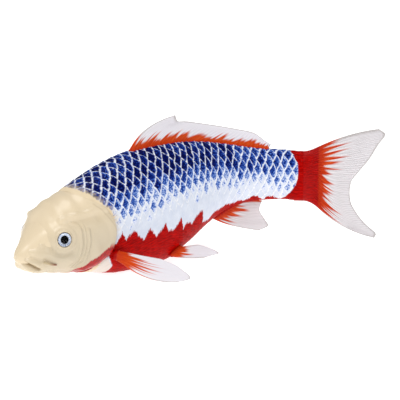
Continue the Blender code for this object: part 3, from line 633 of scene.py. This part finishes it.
def whisker(side, sign, finish):
    """A soft barbel that lies along the cheek, thick at the mouth and fine at the end."""
    rings, around = 40, 20
    knots, share = np.linspace(0, 1, len(BARBEL_PATH)), np.linspace(0, 1, rings)
    s, angle = (through(knots, column, share) for column in np.array(BARBEL_PATH, float).T)
    thick = 0.95 * np.interp(share, [0, 0.15, 0.7, 0.95, 1], [1.25, 1, 0.8, 0.5, 0.15])
    centre = skin(s, sign * np.radians(angle), -1.0 - 0.5 * np.sin(share * 3.1))
    run = np.gradient(centre, axis=0)
    run /= np.linalg.norm(run, axis=1, keepdims=True)
    across = np.cross(run, (0, 0, 1.0))
    across /= np.linalg.norm(across, axis=1, keepdims=True)
    over = np.cross(run, across)
    turn = np.linspace(0, 2 * math.pi, around, endpoint=False)[None, :, None]
    outward = across[:, None] * np.cos(turn) + over[:, None] * np.sin(turn)
    points = centre[:, None] + MM * thick[:, None, None] * outward
    index = np.arange(rings * around).reshape(rings, around)
    faces = quads(np.c_[index, index[:, 0]]) + [tuple(index[0].tolist()), tuple(index[-1].tolist())]
    piece = make_piece(f"{side}_whisker", points.reshape(-1, 3), faces, finish, {"reach": np.repeat(share, around)})
    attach(piece, "figure")
    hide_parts(f"{side}_barbel")


# The fins

def fin_lines(lines, count):
    """Each line of (s, side, z) points read at `count` even shares along the fin."""
    share = np.linspace(0, 1, count)
    return [np.stack([through(np.linspace(0, 1, len(line)), column, share) for column in np.array(line, float).T], -1)
            for line in lines]


def fin_piece(name, centre, half, marks, finish, nodes):
    """A fin from the grid of its middle surface and its half thickness; it closes to an edge all round."""
    normal = np.cross(np.gradient(centre, axis=0), np.gradient(centre, axis=1))
    normal /= np.maximum(np.linalg.norm(normal, axis=2, keepdims=True), 1e-12)
    near, far = centre + normal * half[..., None] * MM, centre - normal * half[..., None] * MM
    count = half.size
    front = np.arange(count).reshape(half.shape)
    back = front + count
    for edge in (np.s_[0, :], np.s_[-1, :], np.s_[:, -1]):
        back[edge] = front[edge]
    faces = quads(front) + quads(back) + quads(np.stack([front[:, 0], back[:, 0]], 1))
    faces = [face for face in faces if len(face) > 2]
    points = np.concatenate([near.reshape(-1, 3), far.reshape(-1, 3)])
    marks = {key: np.concatenate([value.ravel()] * 2) for key, value in marks.items()}
    piece = make_piece(name, points, faces, finish, marks)
    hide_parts(*nodes)
    return piece


def ray_marks(across, out, rays, seed, reach, streak, spread=0.0):
    """Height of the fin rays and the paint on them, from 0 to 1.

    across is 0 to 1 over the fin's width, out 0 at the flex line and 1 at the tip. Rays fork once on the
    way out. The paint ends at `reach`, and its streaks at up to `streak` more; `spread` makes both longer
    in the middle of the fin than at its sides.
    """
    lengths = np.random.default_rng(seed).uniform(0, 1, 400)
    ridge = 0.5 + 0.5 * np.cos(across * rays * 2 * math.pi)
    forked = 0.5 + 0.5 * np.cos(across * rays * 4 * math.pi)
    fork = ease((out - 0.35) / 0.3)
    height = ridge * (1 - fork) + forked * fork
    streak_at = across * rays * 1.8
    k = np.floor(streak_at).astype(int) % (len(lengths) - 1)
    t = ease(streak_at - np.floor(streak_at))
    chance = lengths[k] * (1 - t) + lengths[k + 1] * t
    limit = (reach + streak * chance ** 1.6) * (1 - spread + 2 * spread * np.sin(across * math.pi))
    return height, ease(0.5 + (limit - out) / (0.09 + 0.4 * streak * chance))


def bent_rays(root, middle, tip, count):
    """Points along rays from the root, through the middle, to the tip, and their shares of the way out."""
    u = np.linspace(0, 1, count)[None, :, None]
    start, half_way, end = root[:, None], middle[:, None], tip[:, None]
    return (1 - u) ** 2 * start + 2 * u * (1 - u) * (2 * half_way - 0.5 * (start + end)) + u * u * end, u[0, :, 0]


def fin_marks(c, share, red, height, wide, long, edge):
    """The values that a fin's material reads, from the fin's size and the width of its grey edge."""
    edge_gap = np.minimum(np.minimum(c, 1 - c) * wide, (1 - np.clip(share, 0, 1)) * long)
    return {"red_paint": red, "ray": height, "edge": ease(1 - edge_gap / edge), "across": c * wide + 0 * share,
            "reach": np.clip(share, -1, 1) + 0 * c}


def blade_grid(root, middle, tip, across, out_count, inward, bury):
    """The middle surface of a fin: rows across the fin, columns from inside the body out to the tip."""
    start, mid, end = (at(*line.T) for line in fin_lines((root, middle, tip), across))
    rays, u = bent_rays(start, mid, end, out_count)
    steps = max(4, int(bury / 1.2))
    reach = np.linspace(1, 0, steps, endpoint=False)[None, :, None]
    lead = start[:, None] + inward * MM * bury * reach
    shares = np.concatenate([-reach[0, :, 0], u])
    return np.concatenate([lead, rays], axis=1), shares


def rounded_edge(share, power):
    """1 over a fin, falling to 0 at both ends of the share; a higher power keeps it full for longer."""
    return np.sqrt(np.clip(1 - np.abs(2 * share - 1) ** power, 0, 1))


def flex(piece, name):
    """Works out the way from a fin's flex line out to its blade, which nothing uses, and bakes the skin's placement
    into its points; the skin is not bent.
    """
    joint = JOINTS[f"{name}_flex"]
    lo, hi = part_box(f"{name}_fin")
    axis = np.array(joint["axis"], float)
    out = (np.array(lo) + np.array(hi)) / 2 - np.array(joint["pos_m"])
    out -= axis * (out @ axis)
    out /= np.linalg.norm(out)
    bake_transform(piece)


def tail_skin(finish):
    """The tail's fleshy root, flush with the body, and its wide forked fin."""
    across, out = 241, 96
    root, middle, tip = fin_lines((CAUDAL_ROOT, CAUDAL_MIDDLE, CAUDAL_TIP), across)
    c = np.linspace(0, 1, across)
    begin = SHELL_END - 0.1
    side, z = section(np.full(400, begin), np.linspace(0, math.pi, 400))      # the shell's end, back to belly
    flange = np.stack([np.full(across, begin), np.zeros(across), z.max() + (z.min() - z.max()) * c], -1)
    widths = np.interp(flange[:, 2], z[::-1], side[::-1])
    rays, u = bent_rays(root, middle, tip, out)
    steps = 26
    t = np.linspace(0, 1, steps, endpoint=False)[None, :, None]
    reach = (root[:, 0] - flange[:, 0])[:, None, None]
    leave = np.stack([np.ones(across), np.zeros(across), np.zeros(across)], -1)[:, None] * reach
    arrive = 2 * middle - 0.5 * (root + tip) - root
    arrive = (arrive / arrive[:, :1])[:, None] * reach
    lead = ((1 + 2 * t) * (1 - t) ** 2 * flange[:, None] + t * (1 - t) ** 2 * leave
            + t * t * (3 - 2 * t) * root[:, None] - t * t * (1 - t) * arrive)
    plug = flange[:, None] + np.array([-8.0, 0, 0])
    grid = np.concatenate([plug, flange[:, None] - np.array([0.02, 0, 0]), lead, rays], axis=1)
    share = np.concatenate([[-1.2, -1], t[0, :, 0] - 1, u])[None, :]
    cc = c[:, None]
    past_root = np.clip(share, 0, 1)
    blade = (1.9 - 1.35 * past_root ** 0.6) * rounded_edge(cc, 14) * rounded_edge(0.5 + 0.5 * past_root, 40)
    flesh = widths[:, None] + 0 * share
    thin = ease((share + 1) / 1.25) ** 0.8
    half = flesh * (1 - thin) + blade * thin
    half[:, 0] = widths * 0.68
    height, red = ray_marks(cc + 0 * share, share + 0 * cc, 30, 21, 0.09, 0.42, 0.2)
    red = np.where(share < -0.05, 1.0, red)
    half = half + 0.32 * height * ease((share + 0.85) / 0.6) * rounded_edge(cc, 20) * (share < 0.985)
    centre = at(grid[..., 0], grid[..., 1], grid[..., 2])
    marks = fin_marks(cc, share, red, height, wide=60, long=55, edge=2.8)
    piece = fin_piece("tail_fin_skin", centre, half, marks, finish, ("caudal_root", "caudal_fin"))
    flex(piece, "caudal")


def back_fin_skin(finish):
    """The long back fin with its leading spine, raised rays and painted foot."""
    across, out = 251, 44
    base = np.array(DORSAL_BASE, float)
    back = section(base, np.zeros(len(base)))[1]
    foot = [(a, 0, b) for a, b in zip(base, back - 5)]
    ridge = [(a, 0, b) for a, b in zip(base, back)]
    inside, start, middle, tip = fin_lines((foot, ridge, DORSAL_MIDDLE, DORSAL_TIP), across)
    rays, u = bent_rays(start, middle, tip, out)
    grid = np.concatenate([inside[:, None], (0.4 * inside + 0.6 * start)[:, None], rays], axis=1)
    c, share = np.linspace(0, 1, across)[:, None], np.r_[-1, -0.4, u][None, :]
    height, red = ray_marks(c + 0 * share, share / (0.85 + 0.9 * c), 42, 31, 0.16, 0.3)
    front = ease(1 - c / 0.035)
    past_root = np.clip(share, 0, 1)
    half = (1.9 - 1.45 * past_root ** 0.5 + 0.5 * front) * rounded_edge(0.5 + 0.5 * past_root, 30)
    half = half + 0.8 * ease(1 - past_root / 0.12)
    half = half * rounded_edge(c, 60) + 0.2 * height * (share < 0.97) * rounded_edge(c, 60)
    red = np.maximum(red, 0.9 * front * (share < 0.12))
    marks = fin_marks(c, share, red, height, wide=150, long=22, edge=1.6)
    centre = at(grid[..., 0], grid[..., 1], grid[..., 2])
    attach(fin_piece("back_fin_skin", centre, half, marks, finish, ("dorsal_fin",)), "figure")


def soft_fin(name, lines, rays, thickness, paint, bury, inward, finish, seed, size):
    """An anal, pectoral or pelvic fin with its fleshy root, which is buried in the body."""
    across, out = 141, 64
    centre, share = blade_grid(*lines, across, out, inward, bury)
    c, share = np.linspace(0, 1, across)[:, None], share[None, :]
    height, red = ray_marks(c + 0 * share, share + 0 * c, rays, seed, *paint)
    red = np.where(share < 0.02, 1.0, red)
    if name == "anal":
        red = np.maximum(red, ease((c - 0.94) / 0.03) * (share < 0.96))
    past_root = np.clip(share, 0, 1)
    shape = rounded_edge(c, 5) * rounded_edge(0.5 + 0.5 * past_root, 24)
    half = (thickness * ease(1 - (share + 0.1) / 0.55) + 0.5) * shape
    half = half + 0.16 * height * ease(share / 0.2) * rounded_edge(c, 12) * (share < 0.98)
    marks = fin_marks(c, share, red, height, wide=size * 0.5, long=size, edge=1.5)
    piece = fin_piece(f"{name}_fin_skin", centre, half, marks, finish, (f"{name}_root", f"{name}_fin"))
    flex(piece, name)


def mirrored(points):
    return [(s, -side, z) for s, side, z in points]


# Materials

def linear(colour):
    """An sRGB hex colour as linear red, green, blue and full alpha."""
    parts = [int(colour[k:k + 2], 16) / 255 for k in (1, 3, 5)]
    return tuple(p / 12.92 if p <= 0.04045 else ((p + 0.055) / 1.055) ** 2.4 for p in parts) + (1.0,)


def add_node(tree, kind, inputs=None, **settings):
    """Adds a shader node with its settings, and its inputs as values or as links from other nodes' outputs."""
    node = tree.nodes.new("ShaderNode" + kind)
    for key, value in settings.items():
        setattr(node, key, value)
    for key, value in (inputs or {}).items():
        if isinstance(value, bpy.types.NodeSocket):
            tree.links.new(value, node.inputs[key])
        else:
            node.inputs[key].default_value = value
    return node


def new_material(name):
    """A material with its node tree and its shader."""
    made = bpy.data.materials.new(name)
    made.use_nodes = True
    return made, made.node_tree, made.node_tree.nodes["Principled BSDF"]


def finish_shader(tree, shader, links, **values):
    """Links what varies over the surface and sets what doesn't on the shader's own sockets."""
    for key, socket in links.items():
        tree.links.new(socket, shader.inputs[key])
    for key, value in values.items():
        shader.inputs[key.replace("_", " ")].default_value = value


def two_shades(tree, scale, detail, low, high):
    """Clouds of two near shades of a bare material; the scale is in clouds to the metre."""
    lay = add_node(tree, "TexCoord").outputs["Object"]
    cloud = add_node(tree, "TexNoise", {"Vector": lay, "Scale": scale, "Detail": detail}).outputs["Fac"]
    return add_node(tree, "Mix", {0: cloud, 6: linear(low), 7: linear(high)}, data_type="RGBA").outputs[2]


def scale_lacquer():
    """Airbrushed acrylic on moulded vinyl under satin lacquer: flecked navy scales, hardly any mirror."""
    made, tree, shader = new_material("airbrushed_scale_lacquer")
    mark = {key: add_node(tree, "Attribute", attribute_name=key).outputs["Fac"]
            for key in ("outline", "blue_depth", "red_paint", "cream_paint_and_breast_shade")}
    lay = add_node(tree, "Attribute", attribute_name="lay").outputs["Vector"]
    # Flecks in the airbrushed blue are about 1.4 mm across, and its clouds 8 mm.
    flecks = add_node(tree, "TexNoise", {"Vector": lay, "Scale": 700, "Detail": 3}).outputs["Fac"]
    cloud = add_node(tree, "TexNoise", {"Vector": lay, "Scale": 120, "Detail": 2}).outputs["Fac"]
    # Brush strokes in the red run down and back, about 1 mm wide and 6 mm long.
    slanted = add_node(tree, "Mapping", {"Vector": lay, "Rotation": (0, 0, -0.9), "Scale": (160, 900, 1)}).outputs[0]
    strokes = add_node(tree, "TexNoise", {"Vector": slanted, "Scale": 1, "Detail": 3}).outputs["Fac"]

    shift = add_node(tree, "Math", {0: flecks, 1: -0.5}, operation="ADD").outputs[0]
    shaken = add_node(tree, "Math", {0: shift, 1: 1.6, 2: mark["blue_depth"]}, operation="MULTIPLY_ADD").outputs[0]
    ramp = add_node(tree, "ValToRGB", {"Fac": shaken})
    stops = ((0.06, "#DDE2F2"), (0.25, "#A9BBE2"), (0.42, "#5A7CC4"), (0.6, "#264BA0"), (0.8, "#081E74"),
             (0.95, "#020840"))
    while len(ramp.color_ramp.elements) < len(stops):
        ramp.color_ramp.elements.new(0.5)
    for element, (where, colour) in zip(ramp.color_ramp.elements, stops):
        element.position, element.color = where, linear(colour)
    has_blue = add_node(tree, "MapRange", {"Value": mark["blue_depth"], "From Max": 0.12}).outputs[0]
    # The white lines are brushed on by hand, so they are faint here and there.
    broken = add_node(tree, "MapRange", {"Value": flecks, "From Min": 0.32, "From Max": 0.55, "To Min": 0.45}).outputs[0]
    line = add_node(tree, "Math", {0: mark["outline"], 1: broken}, operation="MULTIPLY").outputs[0]
    pearl, edge = (add_node(tree, "Mix", {0: share, 6: linear(low), 7: linear(high)}, data_type="RGBA").outputs[2]
                   for share, low, high in ((cloud, "#C4CDDF", "#E6EBF4"), (has_blue, "#F4F5FA", "#F2F5FC")))
    painted = pearl
    # The cream coat also carries painted shade over the bare breast.
    for share, coat in ((has_blue, ramp.outputs[0]), (line, edge), (mark["cream_paint_and_breast_shade"], cream_colour(tree, cloud)),
                        (mark["red_paint"], red_colour(tree, strokes))):
        painted = add_node(tree, "Mix", {0: share, 6: painted, 7: coat}, data_type="RGBA").outputs[2]
    rough = add_node(tree, "MapRange", {"Value": cloud, "To Min": 0.32, "To Max": 0.5}).outputs[0]
    grain = add_node(tree, "Bump", {"Height": strokes, "Strength": 0.25, "Distance": 0.0003}).outputs[0]
    finish_shader(tree, shader, {"Base Color": painted, "Roughness": rough, "Normal": grain},
                  IOR=1.5, Specular_IOR_Level=0.02, Coat_Weight=0.02, Coat_Roughness=0.1)
    return made


def red_colour(tree, strokes):
    """Vermilion laid in strokes of two shades."""
    share = add_node(tree, "MapRange", {"Value": strokes, "From Min": 0.35, "From Max": 0.68}).outputs[0]
    return add_node(tree, "Mix", {0: share, 6: linear("#860000"), 7: linear("#C20A05")}, data_type="RGBA").outputs[2]


def cream_colour(tree, cloud):
    """The head's cream, which runs on over the nape."""
    return add_node(tree, "Mix", {0: cloud, 6: linear("#DDCAA8"), 7: linear("#EAD8BA")}, data_type="RGBA").outputs[2]


def cream_lacquer():
    """Gloss lacquer over cream paint on a moulded head: wide soft highlights, with painted brown shade in the creases
    and painted shade on its lower side.
    """
    made, tree, shader = new_material("cream_gloss_lacquer")
    mark = {key: add_node(tree, "Attribute", attribute_name=key).outputs["Fac"]
            for key in ("red_paint", "line_shade", "painted_shade")}
    lay = add_node(tree, "Attribute", attribute_name="lay").outputs["Vector"]
    # Clouds in the cream are about 17 mm across, the pores of the casting 1 mm and the red strokes 2 mm.
    cloud, pores, strokes = (add_node(tree, "TexNoise", {"Vector": lay, "Scale": size, "Detail": detail}).outputs["Fac"]
                             for size, detail in ((60, 3), (900, 2), (500, 3)))
    painted = cream_colour(tree, cloud)
    # Painted shade: the greyer coat darkens the lower side and the grooves behind the cheek folds, the brown one the
    # creases and the rim round each eye.
    for share, coat in ((mark["painted_shade"], linear("#C5B89F")), (mark["line_shade"], linear("#8C7148")),
                        (mark["red_paint"], red_colour(tree, strokes))):
        painted = add_node(tree, "Mix", {0: share, 6: painted, 7: coat}, data_type="RGBA").outputs[2]
    rough = add_node(tree, "MapRange", {"Value": cloud, "To Min": 0.26, "To Max": 0.38}).outputs[0]
    bump = add_node(tree, "Bump", {"Height": pores, "Strength": 0.12, "Distance": 0.0002}).outputs[0]
    finish_shader(tree, shader, {"Base Color": painted, "Roughness": rough, "Normal": bump},
                  IOR=1.5, Specular_IOR_Level=0.4, Coat_Weight=0.15, Coat_Roughness=0.12)
    return made


def fin_vinyl(name, orange, milky, grey):
    """Soft vinyl, cast thin: milky and translucent, with transparent orange-red paint from the root."""
    made, tree, shader = new_material(name)
    mark = {key: add_node(tree, "Attribute", attribute_name=key).outputs["Fac"]
            for key in ("red_paint", "ray", "edge", "reach", "across")}
    spot = add_node(tree, "CombineXYZ", {"X": mark["reach"], "Y": mark["across"]}).outputs[0]
    # Streaks run out along the rays, less than 1 mm wide.
    drawn = add_node(tree, "Mapping", {"Vector": spot, "Scale": (2.5, 1.3, 1)}).outputs[0]
    strokes = add_node(tree, "TexNoise", {"Vector": drawn, "Scale": 1, "Detail": 3}).outputs["Fac"]
    deep, lighter = (add_node(tree, "MapRange", {"Value": value, "From Min": low, "From Max": high}).outputs[0]
                     for value, low, high in ((mark["reach"], -0.12, 0.18), (strokes, 0.45, 0.75)))
    light_share = add_node(tree, "Math", {0: lighter, 1: deep}, operation="MULTIPLY").outputs[0]
    bare, paint = linear(grey), red_colour(tree, strokes)
    for share, coat in ((mark["ray"], linear(milky)), (strokes, linear("#E6E2E5")), (mark["edge"], linear("#B4AEAC"))):
        bare = add_node(tree, "Mix", {0: share, 6: bare, 7: coat}, data_type="RGBA").outputs[2]
    for share, coat in ((deep, linear(orange)), (light_share, linear("#DE6028"))):
        paint = add_node(tree, "Mix", {0: share, 6: paint, 7: coat}, data_type="RGBA").outputs[2]
    painted = add_node(tree, "Mix", {0: mark["red_paint"], 6: bare, 7: paint}, data_type="RGBA").outputs[2]
    rough = add_node(tree, "MapRange", {"Value": strokes, "To Min": 0.3, "To Max": 0.45}).outputs[0]
    finish_shader(tree, shader, {"Base Color": painted, "Roughness": rough}, IOR=1.53, Specular_IOR_Level=0.08,
                  Subsurface_Weight=0.25, Subsurface_Radius=(1.0, 0.95, 0.95), Subsurface_Scale=0.002)
    return made


def silvered_cup():
    """Vacuum-silvered plastic behind the eye's dome: bluish white, with darker patches."""
    made, tree, shader = new_material("silvered_iris")
    ring, turn = (add_node(tree, "Attribute", attribute_name=key).outputs["Fac"] for key in ("ring", "turn"))
    spot = add_node(tree, "CombineXYZ", {"X": ring, "Y": turn}).outputs[0]
    spread = add_node(tree, "Mapping", {"Vector": spot, "Scale": (1.0, 3.5, 1)}).outputs[0]
    cloud = add_node(tree, "TexNoise", {"Vector": spread, "Scale": 1.2, "Detail": 3}).outputs["Fac"]
    mixed = add_node(tree, "MapRange", {"Value": cloud, "From Min": 0.35, "From Max": 0.62}).outputs[0]
    colour = add_node(tree, "Mix", {0: mixed, 6: linear("#6E88B8"), 7: linear("#F0F5FC")},
                      data_type="RGBA").outputs[2]
    finish_shader(tree, shader, {"Base Color": colour}, Metallic=0.55, Roughness=0.3)
    return made


def black_pupil():
    """Black enamel, whose own mirror the clear glue over it takes away."""
    made, tree, shader = new_material("black_enamel_pupil")
    finish_shader(tree, shader, {"Base Color": two_shades(tree, 400, 2, "#030304", "#0A0A0E")},
                  Roughness=0.3, IOR=1.5, Specular_IOR_Level=0.0)
    return made


def clear_dome():
    """Clear cast acrylic, bedded in clear glue, which dulls its mirror: only its highlights are seen."""
    made, tree, shader = new_material("clear_acrylic_dome")
    tree.nodes.remove(shader)
    mirror = add_node(tree, "Fresnel", {"IOR": 1.22}).outputs[0]
    inside = add_node(tree, "NewGeometry").outputs["Backfacing"]
    edge = add_node(tree, "Mix", {0: inside, 2: mirror, 3: 0.0}).outputs[0]
    gloss = add_node(tree, "BsdfAnisotropic", {"Color": (1, 1, 1, 1), "Roughness": 0.03}).outputs[0]
    through_it = add_node(tree, "BsdfTransparent", {"Color": (1, 1, 1, 1)}).outputs[0]
    mixed = add_node(tree, "MixShader", {0: edge, 1: through_it, 2: gloss}).outputs[0]
    tree.links.new(mixed, tree.nodes["Material Output"].inputs["Surface"])
    return made


def whisker_vinyl():
    """Cream vinyl whose end is tinted reddish brown."""
    made, tree, shader = new_material("cream_whisker_vinyl")
    reach = add_node(tree, "Attribute", attribute_name="reach").outputs["Fac"]
    share = add_node(tree, "MapRange", {"Value": reach, "From Min": 0.35, "From Max": 0.85}).outputs[0]
    colour = add_node(tree, "Mix", {0: share, 6: linear("#BBA985"), 7: linear("#8E5236")},
                      data_type="RGBA").outputs[2]
    finish_shader(tree, shader, {"Base Color": colour}, Roughness=0.3, IOR=1.5, Coat_Weight=0.3)
    return made


def bare_moulding():
    """Unpainted grey vinyl with the fine texture of the mould; only seen if the figure comes apart."""
    made, tree, shader = new_material("grey_structural_vinyl")
    finish_shader(tree, shader, {"Base Color": two_shades(tree, 500, 4, "#A9A59C", "#BDB9B0")},
                  Roughness=0.55, IOR=1.5)
    return made


# Stage, lights and camera

# Name, place, size and power in watts
LAMPS = [("key", (-0.75, -0.85, 1.25), 0.7, 9.0), ("top", (-0.1, 0.05, 1.5), 0.9, 8.5),
         ("fill", (1.1, -1.1, 0.5), 0.9, 1.5)]
LAMPS_AIM = (0, 0, 0.05)
CAMERA_TURN, CAMERA_RISE = -30.23, 12.5     # degrees towards the head from the left side, and up
CAMERA_AWAY = 1.4
CAMERA_AIM = (175, 0, 45)                   # s, side and z
AIM_RIGHT, AIM_UP = 19.7, 1.2               # and how far to the right and up of it, mm

def stage():
    """A white paper floor, lit from behind as in a studio, and three soft lamps."""
    paper, half = bpy.data.meshes.new("floor"), 9.0
    paper.from_pydata([(-half, -half, 0), (half, -half, 0), (half, half, 0), (-half, half, 0)], [], [(0, 1, 2, 3)])
    floor = bpy.data.objects.new("floor", paper)
    bpy.context.scene.collection.objects.link(floor)
    made, tree, shader = new_material("white_backdrop_paper")
    finish_shader(tree, shader, {"Base Color": two_shades(tree, 20, 2, "#C2C2C2", "#C6C6C6")},
                  Roughness=0.9, Emission_Color=(1, 1, 1, 1), Emission_Strength=0.92)
    paper.materials.append(made)

    world = bpy.data.worlds.new("studio")
    bpy.context.scene.world = world
    world.use_nodes = True
    light = world.node_tree.nodes["Background"]
    light.inputs["Color"].default_value = (1, 1, 1, 1)
    light.inputs["Strength"].default_value = 0.36
    for name, where, size, watts in LAMPS:
        lamp = bpy.data.lights.new(name, "AREA")
        lamp.size, lamp.energy = size, watts
        obj = bpy.data.objects.new(name, lamp)
        obj.location = where
        obj.rotation_euler = (Vector(LAMPS_AIM) - Vector(where)).to_track_quat("-Z", "Y").to_euler()
        bpy.context.scene.collection.objects.link(obj)


def camera():
    """A long lens from the head end of the left side, a little above."""
    turn, rise = math.radians(CAMERA_TURN), math.radians(CAMERA_RISE)
    back = Vector((math.sin(turn) * math.cos(rise), -math.cos(turn) * math.cos(rise), math.sin(rise)))
    right = Vector((0, 0, 1)).cross(back).normalized()
    target = Vector(at(*CAMERA_AIM)) + right * AIM_RIGHT * MM + back.cross(right) * AIM_UP * MM
    lens = bpy.data.cameras.new("camera")
    lens.lens, lens.sensor_width = 151.2, 36
    obj = bpy.data.objects.new("camera", lens)
    obj.location = target + back * CAMERA_AWAY
    obj.rotation_euler = back.to_track_quat("Z", "Y").to_euler()
    bpy.context.scene.collection.objects.link(obj)
    bpy.context.scene.camera = obj
    bpy.context.scene.view_settings.view_transform = "Standard"


def main():
    camera()
    stage()
    flank, cream = scale_lacquer(), cream_lacquer()
    for side, sign in (("left", 1), ("right", -1)):
        body_skin(sign, side, flank)
    head_skin(cream)
    silver, black, clear, bristle = silvered_cup(), black_pupil(), clear_dome(), whisker_vinyl()
    for side, sign in (("left", 1), ("right", -1)):
        eye(side, sign, silver, black, clear)
        whisker(side, sign, bristle)
    tail_vinyl = fin_vinyl("milky_fin_vinyl", "#C23406", "#E4E1E2", "#B4B0B2")
    pale_vinyl = fin_vinyl("lilac_fin_vinyl", "#CC4006", "#F4F2F7", "#D8D5DF")
    tail_skin(tail_vinyl)
    back_fin_skin(pale_vinyl)
    soft_fin("anal", (ANAL_ROOT, ANAL_MIDDLE, ANAL_TIP), 12, 2.0, (0.1, 0.45), 6, np.array([0, 0, 1.0]),
             tail_vinyl, 41, 42)
    for side, sign in (("left", 1), ("right", -1)):
        for kind, lines, seed, rays, thick, paint, bury, size in (
                ("pectoral", (PECTORAL_ROOT, PECTORAL_MIDDLE, PECTORAL_TIP), 51, 15, 1.7, (0.18, 0.45), 7, 56),
                ("pelvic", (PELVIC_ROOT, PELVIC_MIDDLE, PELVIC_TIP), 61, 11, 2.2, (0.14, 0.3), 6, 30)):
            lines = lines if sign > 0 else [mirrored(line) for line in lines]
            root = lines[0][0]
            inward = at(root[0], 0, root[2]) - at(*root)
            inward /= np.linalg.norm(inward)
            soft_fin(f"{side}_{kind}", lines, rays, thick, paint, bury, inward, pale_vinyl, seed, size)
    grey = bare_moulding()
    for name in ["neck_collar"] + [f"locating_pin_{k}" for k in range(1, 5)]:
        for slot in frame["nodes"][name].material_slots:
            slot.material = grey


main()
